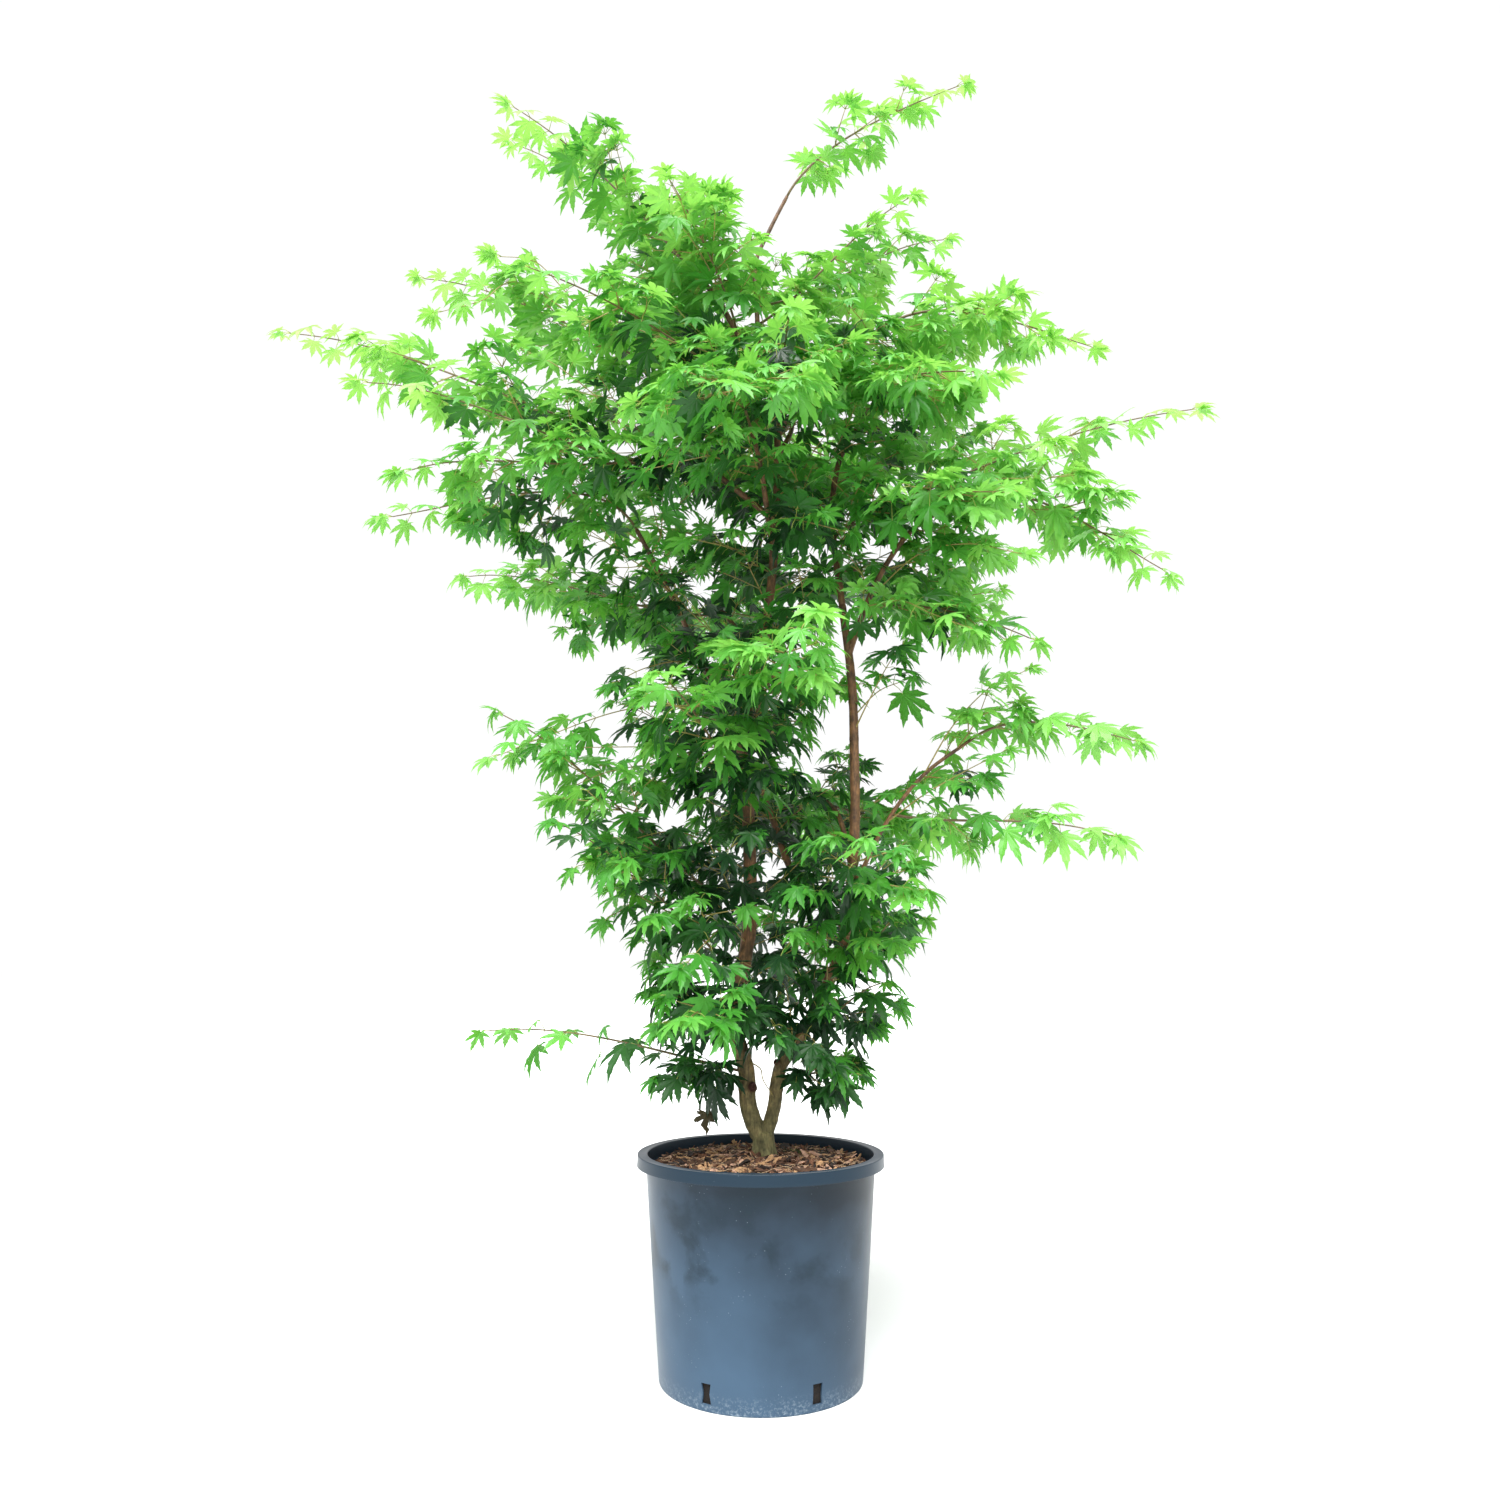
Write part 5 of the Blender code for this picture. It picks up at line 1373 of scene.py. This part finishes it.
def inside_box(point, margin):
    """Whether a point is in the whole tree's box, made wider by a margin."""
    low, high = CAD_BOX
    return all(low[axis] - margin <= point[axis] <= high[axis] + margin for axis in range(3))


def between(steps, height):
    """The value at a height, from (height, value) steps."""
    for (low, first), (high, second) in zip(steps, steps[1:]):
        if height < high:
            return first + (second - first) * clamp((height - low) / (high - low), 0.0, 1.0)
    return steps[-1][1]


class Crown:
    """Grows every spray by one seeded rule, and keeps its twigs, stalks and leaves."""

    def __init__(self, spaces, settings):
        self.spaces = spaces
        self.settings = settings
        self.tones = random.Random(TONE_SEED)
        self.tone = 0.0
        self.stems = Tubes(6)
        self.shoots = Tubes(5)
        self.stalks = []
        self.leaves = {shade: [] for shade in LEAF_SHADES}

    def shade(self, point, tipness):
        """A leaf's shade, painted light and shade by its height and how far out it is, and paler near a
        twig's end.
        """
        away = math.hypot(point.x - between(CROWN_LEAN, point.z), point.y)
        top_from, top_over = CROWN_TOP
        out = max(away / between(CROWN_WIDTHS, point.z), (point.z - top_from) / top_over)
        tone_from, tone_over, tone_least = TONE_RISE
        value = (between(CROWN_LIGHT, point.z) + TIP_LIGHT * tipness ** 2
                 + EDGE_LIGHT * min(out, EDGE_LIMIT) ** EDGE_CURVE
                 + self.tone * clamp((point.z - tone_from) / tone_over, tone_least, 1.0)
                 + self.random.gauss(0.0, LEAF_TONE))
        value = min(value, between(CROWN_PALEST, point.z))
        for shade, step in zip(LEAF_SHADES, SHADE_STEPS):
            if value > step:
                return shade
        return LEAF_SHADES[-1]

    def leaf(self, name, root, way, side, tipness, swing=None, scale=1.0):
        """Add a leaf on its stalk, hanging outwards from a node, unless it has no room."""
        rng = self.random
        swing = PAIR_ANGLE * rng.uniform(*PAIR_SPREAD) if swing is None else swing
        outward = way * math.cos(swing) + side * math.sin(swing) + UP * rng.uniform(0.0, LEAF_LIFT)
        outward.normalize()
        stalk = self.settings.stalk_length * rng.uniform(*STALK_SIZES)
        stalk *= (1.0 - STALK_TIP_LESS * tipness) * scale
        palm = root + outward * stalk - UP * stalk * STALK_SAG
        if name and not self.spaces.fits(name, palm, 1.1) or not self.spaces.clear(palm):
            return
        length = self.settings.leaf_length * rng.uniform(*LEAF_SIZES)
        length *= (1.0 - LEAF_TIP_LESS * tipness ** 2) * scale
        flat = Vector((outward.x, outward.y, outward.z * 0.3))
        if flat.length <= 0.05:
            flat = Vector((side.x, side.y, 0.0))
        flat.normalize()
        foot, rise = LEAF_DROOP_HEIGHTS
        height = clamp((palm.z - foot) / rise, 0.0, 1.0)
        low, less_high, less_tip = LEAF_DROOP
        droop = rng.gauss(low - less_high * height - less_tip * tipness, LEAF_DROOP_SPREAD)
        droop = math.radians(clamp(droop, *LEAF_DROOP_RANGE))
        ahead = flat * math.cos(droop) - UP * math.sin(droop)
        across = UP.cross(ahead).normalized()
        above = ahead.cross(across)
        turn = Matrix.Rotation(rng.gauss(0.0, LEAF_ROLL), 3, ahead)
        across, above = turn @ across, turn @ above
        if not inside_box(palm + ahead * length, 0.0):
            return
        bends = [rng.uniform(*limits) for limits in LEAF_BENDS]
        form = rng.randrange(len(LEAF_FORMS))
        shade = self.shade(palm, tipness)
        self.leaves[shade].append((form, palm, ahead, across, above, length, bends))
        self.stalks.append((root, root + outward * stalk * 0.6 + UP * stalk * 0.06, palm))

    @staticmethod
    def level_side(way):
        """The level way across a twig, or +X where the twig is upright."""
        level = way.cross(UP)
        return level.normalized() if level.length > 0.05 else Vector((1.0, 0.0, 0.0))

    def pair(self, name, root, way, roll, tipness, scale=1.0):
        """A pair of leaves, one on each side of a node."""
        side = Matrix.Rotation(roll, 3, way) @ self.level_side(way)
        self.leaf(name, root, way, side, tipness, scale=scale)
        self.leaf(name, root, way, -side, tipness, scale=scale)

    def tip(self, name, root, way):
        """The young leaves that end a twig."""
        level = self.level_side(way)
        for swing in TIP_SWINGS:
            self.leaf(name, root, way, level, 1.0, swing=swing * self.random.uniform(*TIP_SPREAD),
                      scale=self.random.uniform(*TIP_SIZES))

    def shoot(self, name, root, way, length, order):
        """A side shoot that bends and branches as it goes, with a pair of leaves at each node."""
        rng = self.random
        if order == 1:
            self.tone = self.tones.gauss(0.0, SPRAY_TONE)
        spacing = self.settings.node_spacing * SHOOT_SPACING
        count = max(1, round(length / spacing))
        points = [root]
        for _ in range(count):
            bend = Vector((rng.gauss(0, SHOOT_WANDER), rng.gauss(0, SHOOT_WANDER),
                           rng.gauss(*SHOOT_LIFT)))
            way = (way + bend).normalized()
            point = points[-1] + way * length / count
            if name and not self.spaces.fits(name, point) or not inside_box(point, -BOX_MARGIN):
                break
            points.append(point)
        if len(points) < 2:
            return
        last = len(points) - 1
        foot = SHOOT_FOOT if order == 1 else SHOOT_FOOT * SECOND_SHOOT_FOOT
        self.shoots.add(points, [foot + (SHOOT_TIP - foot) * index / last for index in range(last + 1)])
        roll = rng.uniform(-PAIR_ROLLS[1], PAIR_ROLLS[1])
        for index in range(1, last + 1):
            tipness = index / last
            way = (points[index] - points[index - 1]).normalized()
            if index < last or order == 1:
                self.pair(name, points[index], way, roll + (index % 2) * PAIR_TURN, tipness)
            if order == 1 and index < last and length > SECOND_SHOOT_LENGTH:
                side = way.cross(UP).normalized() * (1 if index % 2 else -1)
                turn = SHOOT_ANGLE * rng.uniform(*SECOND_SHOOT_SPREAD)
                self.shoot(name, points[index], way * math.cos(turn) + side * math.sin(turn),
                           length * rng.uniform(*SECOND_SHOOT_SIZES), 2)
        self.tip(name, points[-1], way)

    def spray(self, name, line, seed):
        """One spray: its arching stem, side shoots from its lower part, and pairs of leaves."""
        self.random = random.Random(seed)
        rng = self.random
        half_width = MASSES[name][3]
        self.stems.add(line.points, line.tapered(TWIG_FOOT, TWIG_TIP))
        self.tone = 0.0
        sparse = half_width < SPARSE_WIDTH
        count = SPARSE_NODES if sparse else max(4, round(line.length / self.settings.node_spacing))
        bare = SPARSE_FOOT if sparse else BARE_FOOT
        stray = PAIR_ROLLS[0]
        grow, fall = SHOOT_FULLNESS
        for index in range(count):
            share = bare + (LAST_NODE - bare) * (index + 0.5) / count
            root, way = line.at(share), line.direction(share)
            self.pair(name, root, way, (index % 2) * PAIR_TURN + rng.uniform(-stray, stray), share,
                      scale=SPARSE_LEAF if sparse else 1.0)
            if sparse or not SHOOT_FROM < share < SHOOT_TO:
                continue
            fullness = min(1.0, grow * share / SHOOT_TO) * (1.0 - share / SHOOT_TO) ** fall
            usual = half_width * SHOOT_REACH * (SHOOT_LEAST + (1.0 - SHOOT_LEAST) * fullness)
            for sign in (1, -1):
                if rng.random() > OPEN_SPRAYS.get(name, SHOOT_CHANCE):
                    continue
                roll = Matrix.Rotation(rng.uniform(-SHOOT_ROLL, SHOOT_ROLL), 3, way)
                side = roll @ way.cross(UP).normalized() * sign
                turn = SHOOT_ANGLE * rng.uniform(*SHOOT_SPREAD)
                length = usual * rng.uniform(*SHOOT_SIZES)
                self.shoot(name, root, way * math.cos(turn) + side * math.sin(turn), length, 1)
        self.tip(name, line.at(1.0), line.direction(1.0))

    def thin_shoots(self, hosts):
        """The thin shoots that go their own way, bare but for a few pairs of leaves."""
        self.random = random.Random(THIN_SEED)
        for host, share, way, nodes, scale, leafy in THIN_SHOOTS:
            line = smooth((hosts[host].at(share), *way))
            self.tone = self.tones.gauss(0.0, SPRAY_TONE)
            self.shoots.add(line.points, line.tapered(SHOOT_FOOT, SHOOT_TIP))
            for node in nodes:
                self.pair(None, line.at(node), line.direction(node), node * 7.0, 0.8, scale)
            if leafy:
                self.tip(None, line.at(1.0), line.direction(1.0))

    def clothe(self, limb, first, last, spacing, usual, seed):
        """Short leafy twigs that wind up a limb, leaning outwards from the tree's middle."""
        self.random = random.Random(seed)
        rng = self.random
        count = round(limb.line.length * (last - first) / spacing)
        turn = rng.uniform(0.0, math.tau)
        for index in range(count):
            share = first + (last - first) * (index + rng.uniform(*INNER_STRAY)) / count
            root, way = limb.line.at(share), limb.line.direction(share)
            turn += WHORL
            side = Matrix.Rotation(turn, 3, way) @ way.orthogonal().normalized()
            outward = Vector((root.x, root.y, 0.0)) * INNER_OUT + UP * INNER_UP
            side = (side + outward * INNER_LEAN).normalized()
            angle = math.radians(rng.uniform(*INNER_ANGLES))
            ahead = way * math.cos(angle) + side * math.sin(angle)
            self.shoot(None, root, ahead.normalized(), usual * rng.uniform(*INNER_SIZES), 1)


def spray_line(host, share, tip):
    """The arched stem of a spray, from its host to where its last leaves begin."""
    tip = Vector(tip)
    start = host.line.at(share)
    along = host.line.direction(share)
    if share == 1.0:
        out = along
    else:
        towards = tip - start
        out = ((towards - along * towards.dot(along)).normalized() + along * LEAVING_RISE).normalized()
    ahead = ((tip - start).normalized() - UP * TIP_FALL).normalized()
    return arched(start, out, ahead, tip - ahead * TIP_REACH)


def leaf_mesh(name, leaves, forms):
    """Every leaf of one shade as one mesh: a form's points are bent and placed for all at once."""
    all_points, all_corners, all_sizes = [], [], []
    first = 0
    for form, (points, ribs, faces) in enumerate(forms):
        chosen = [leaf for leaf in leaves if leaf[0] == form]
        if not chosen:
            continue
        palms, aheads, acrosses, aboves = (np.array([leaf[column] for leaf in chosen])
                                           for column in range(1, 5))
        lengths = np.array([leaf[5] for leaf in chosen])[:, None, None]
        fold, droop, twist, width = np.array([leaf[6] for leaf in chosen]).T[:, :, None]
        x, y = points[:, 0], points[:, 1]
        reach = np.hypot(x, y)
        curl_from, curl = TIP_CURL
        lift = (fold * ribs - droop * reach ** 2 - curl * np.maximum(reach - curl_from, 0.0) ** 2
                + twist * x * y)
        shaped = (aheads[:, None] * x[None, :, None] + acrosses[:, None] * (y * width)[:, :, None]
                  + aboves[:, None] * lift[:, :, None])
        placed = palms[:, None] + shaped * lengths
        corners = np.concatenate([np.array(face) for face in faces])
        offsets = first + np.arange(len(chosen)) * len(points)
        all_points.append(placed.reshape(-1, 3))
        all_corners.append((offsets[:, None] + corners[None]).ravel())
        all_sizes.append(np.tile([len(face) for face in faces], len(chosen)))
        first += placed.shape[0] * placed.shape[1]
    return mesh_piece(name, *map(np.concatenate, (all_points, all_corners, all_sizes)))


def maple_leaf(name, blade, glow):
    """A thin maple leaf: satin above, with light coming through it.

    Its colour wavers over about 11 mm. Its veins are drawn 2 mm apart, coarser than they are.
    """
    material, tree, shader, place = new_material(f"maple_leaf_{name}")
    mottle = add_node(tree, "ShaderNodeTexNoise", {"Vector": place, "Scale": 90.0, "Detail": 3.0})
    tone = add_node(tree, "ShaderNodeMapRange", {0: mottle, 1: 0.3, 2: 0.7})
    skin = add_node(tree, "ShaderNodeMix", {0: tone, 6: dimmed(blade, 0.78), 7: blade},
                    data_type="RGBA")
    veins = add_node(tree, "ShaderNodeTexNoise", {"Vector": place, "Scale": 420.0, "Detail": 2.0})
    bump = add_node(tree, "ShaderNodeBump", {"Height": veins, "Strength": 0.25, "Distance": 0.0006})
    set_inputs(tree, shader, {"Base Color": skin, "Normal": bump, "Roughness": 0.44})
    through = add_node(tree, "ShaderNodeBsdfTranslucent", {"Color": glow})
    mixed = add_node(tree, "ShaderNodeMixShader", {0: 0.34, 1: shader, 2: through})
    set_inputs(tree, tree.nodes["Material Output"], {"Surface": mixed})
    return material


def twig_skin(name, base, roughness=0.5, scale=260.0):
    """Smooth young wood or a green stalk: satin, with a faint change of tone about every 4 mm."""
    material, tree, shader, place = new_material(name)
    tones = add_node(tree, "ShaderNodeTexNoise", {"Vector": place, "Scale": scale, "Detail": 3.0})
    tone = add_node(tree, "ShaderNodeMapRange", {0: tones, 1: 0.3, 2: 0.7})
    skin = add_node(tree, "ShaderNodeMix", {0: tone, 6: dimmed(base, 0.65), 7: base},
                    data_type="RGBA")
    set_inputs(tree, shader, {"Base Color": skin, "Roughness": roughness})
    return material


def build_foliage(settings):
    """All the twigs, stalks and leaves of the crown, each kind as a piece of its own."""
    limbs = all_limbs()[1]
    lines = {name: spray_line(limbs[host], share, tip)
             for name, (host, share, tip, _) in MASSES.items()}
    crown = Crown(Spaces(lines, limbs.values()), settings)
    for seed, (name, line) in enumerate(lines.items(), start=SPRAY_SEED):
        crown.spray(name, line, seed)
    for seed, (name, twigs) in enumerate(INNER_TWIGS.items(), start=TWIG_SEED):
        crown.clothe(limbs[name], *twigs, seed)
    crown.thin_shoots({**lines, **{name: limb.line for name, limb in limbs.items()}})
    stalks = Tubes(3)
    for root, bend, palm in crown.stalks:
        stalks.add([root, bend, palm], [STALK_RADIUS * 1.3, STALK_RADIUS, STALK_RADIUS])
    for tubes, name, slot, skin in (
            (crown.stems, "spray_stems", "bark", twig_skin("young_maple_wood", settings.wood)),
            (crown.shoots, "side_shoots", "leaves", twig_skin("green_maple_shoot", settings.shoot)),
            (stalks, "leaf_stalks", "leaves", twig_skin("leaf_stalk", settings.stalk))):
        piece = tubes.piece(name)
        piece.data.shade_smooth()
        finish_piece(piece, name, skin, slot, *MASSES)
    forms = [leaf_form(lobes) for lobes in LEAF_FORMS]
    # Each shade gets its own lit or shaded copy of the leaf material: painted light and shade
    for shade, leaves in crown.leaves.items():
        piece = leaf_mesh(f"leaves_{shade}", leaves, forms)
        piece.data.shade_flat()
        skin = maple_leaf(shade, getattr(settings, shade), getattr(settings, f"{shade}_glow"))
        finish_piece(piece, f"leaves_{shade}", skin, "leaves", *MASSES)


def build_dried_leaf(settings):
    """A dead leaf, brown and rolled up, that hangs by its stalk under the lowest spray."""
    points, ribs, faces = leaf_form(LEAF_FORMS[0])
    shaped = []
    for (x, y), rib in zip(points, ribs):
        reach = math.hypot(x, y)
        roll = 2.6 * y
        shaped.append((0.34 * math.sin(roll) + 0.06 * math.sin(9 * x),
                       0.20 * (1 - math.cos(roll)) + 0.25 * rib,
                       -x * 0.62 - 0.10 * reach * math.cos(7 * y)))
    end = Vector(DRIED_STALK[-1])
    placed = [tuple(end + Vector(point) * DRIED_LEAF_LENGTH) for point in shaped]
    piece = mesh_piece("dried_leaf", placed, [corner for face in faces for corner in face],
                       [len(face) for face in faces])
    piece.data.shade_flat()
    skin = twig_skin("dried_maple_leaf", settings.dried, roughness=0.8, scale=140.0)
    finish_piece(piece, "dried_leaf", skin, "leaves")
    tubes = Tubes(5)
    line = smooth(DRIED_STALK)
    tubes.add(line.points, [DRIED_STALK_RADIUS] * len(line.points))
    finish_piece(tubes.piece("dried_leaf_stalk"), "dried_leaf_stalk", skin, "leaves")


# ---------------------------------------------------------------- stage


def build_stage(settings):
    """A pale floor, soft light from above and all round, and the camera."""
    deselect()
    bpy.ops.mesh.primitive_plane_add(size=FLOOR_SIZE)
    floor = bpy.context.object
    floor.name = "studio_floor"
    material, tree, shader, _ = new_material("painted_studio_floor")
    set_inputs(tree, shader, {"Base Color": settings.floor, "Roughness": 0.9})
    floor.data.materials.append(material)
    world = bpy.data.worlds.new("studio_light")
    world.use_nodes = True
    set_inputs(world.node_tree, world.node_tree.nodes["Background"],
               {"Color": colour("ffffff"), "Strength": SKY_STRENGTH})
    bpy.context.scene.world = world
    lamp = bpy.data.lights.new("broad_key_light", "SUN")
    lamp.angle = KEY_ANGLE
    lamp.energy = settings.key
    holder = bpy.data.objects.new("broad_key_light", lamp)
    holder.location = KEY_FROM
    holder.rotation_euler = Vector(KEY_FROM).to_track_quat("Z", "Y").to_euler()
    bpy.context.scene.collection.objects.link(holder)
    camera = bpy.data.cameras.new("camera")
    camera.sensor_width = SENSOR
    camera.lens = settings.lens
    holder = bpy.data.objects.new("camera", camera)
    holder.location = CAMERA_PLACE
    holder.rotation_euler = (math.pi / 2 + CAMERA_TILT, 0.0, 0.0)
    bpy.context.scene.collection.objects.link(holder)
    bpy.context.scene.camera = holder
    bpy.context.scene.view_settings.view_transform = "Standard"


# ---------------------------------------------------------------- operators and panel


class MAPLE_OT_pot(Operator):
    """Build the moulded nursery pot"""
    bl_idname = "maple.pot"
    bl_label = "Nursery Pot"

    def execute(self, context):
        build_pot(context.scene.maple_pot)
        return {"FINISHED"}


class MAPLE_OT_soil(Operator):
    """Build the potting soil"""
    bl_idname = "maple.soil"
    bl_label = "Potting Soil"

    def execute(self, context):
        build_soil(context.scene.maple_mulch)
        return {"FINISHED"}


class MAPLE_OT_chips(Operator):
    """Strew the bark chips"""
    bl_idname = "maple.chips"
    bl_label = "Bark Chips"

    def execute(self, context):
        build_chips(context.scene.maple_mulch)
        build_fibres(context.scene.maple_mulch)
        return {"FINISHED"}


class MAPLE_OT_moss(Operator):
    """Grow the moss on the mulch"""
    bl_idname = "maple.moss"
    bl_label = "Moss"

    def execute(self, context):
        build_moss(context.scene.maple_mulch)
        return {"FINISHED"}


class MAPLE_OT_trunk(Operator):
    """Build the trunk and both stems"""
    bl_idname = "maple.trunk"
    bl_label = "Trunk and Stems"

    def execute(self, context):
        build_trunk(context.scene.maple_bark)
        return {"FINISHED"}


class MAPLE_OT_boughs(Operator):
    """Build the boughs"""
    bl_idname = "maple.boughs"
    bl_label = "Boughs"

    def execute(self, context):
        build_boughs(context.scene.maple_bark)
        return {"FINISHED"}


class MAPLE_OT_foliage(Operator):
    """Grow the twigs and leaves"""
    bl_idname = "maple.foliage"
    bl_label = "Twigs and Leaves"

    def execute(self, context):
        build_foliage(context.scene.maple_leaf)
        build_dried_leaf(context.scene.maple_leaf)
        return {"FINISHED"}


class MAPLE_OT_stage(Operator):
    """Set up the floor, light and camera"""
    bl_idname = "maple.stage"
    bl_label = "Stage"

    def execute(self, context):
        build_stage(context.scene.maple_stage)
        return {"FINISHED"}


OPERATORS = (MAPLE_OT_pot, MAPLE_OT_soil, MAPLE_OT_chips, MAPLE_OT_moss, MAPLE_OT_trunk,
             MAPLE_OT_boughs, MAPLE_OT_foliage, MAPLE_OT_stage)


class MAPLE_PT_panel(Panel):
    """Lists the maple's pieces and their settings"""
    bl_idname = "MAPLE_PT_panel"
    bl_label = "Potted Maple"
    bl_space_type = "VIEW_3D"
    bl_region_type = "UI"
    bl_category = "Maple"

    def draw(self, context):
        for name, group in SETTINGS.items():
            box = self.layout.box()
            for key in group.__annotations__:
                box.prop(getattr(context.scene, name), key)
        for operator in OPERATORS:
            self.layout.operator(operator.bl_idname)


def register():
    for name, group in SETTINGS.items():
        bpy.utils.register_class(group)
        setattr(bpy.types.Scene, name, PointerProperty(type=group))
    for operator in OPERATORS:
        bpy.utils.register_class(operator)
    bpy.utils.register_class(MAPLE_PT_panel)


def unregister():
    bpy.utils.unregister_class(MAPLE_PT_panel)
    for operator in reversed(OPERATORS):
        bpy.utils.unregister_class(operator)
    for name, group in reversed(list(SETTINGS.items())):
        delattr(bpy.types.Scene, name)
        bpy.utils.unregister_class(group)


def main():
    register()
    bpy.ops.maple.stage()
    bpy.ops.maple.pot()
    bpy.ops.maple.soil()
    bpy.ops.maple.chips()
    bpy.ops.maple.moss()
    bpy.ops.maple.trunk()
    bpy.ops.maple.boughs()
    bpy.ops.maple.foliage()


if __name__ == "__main__":
    main()
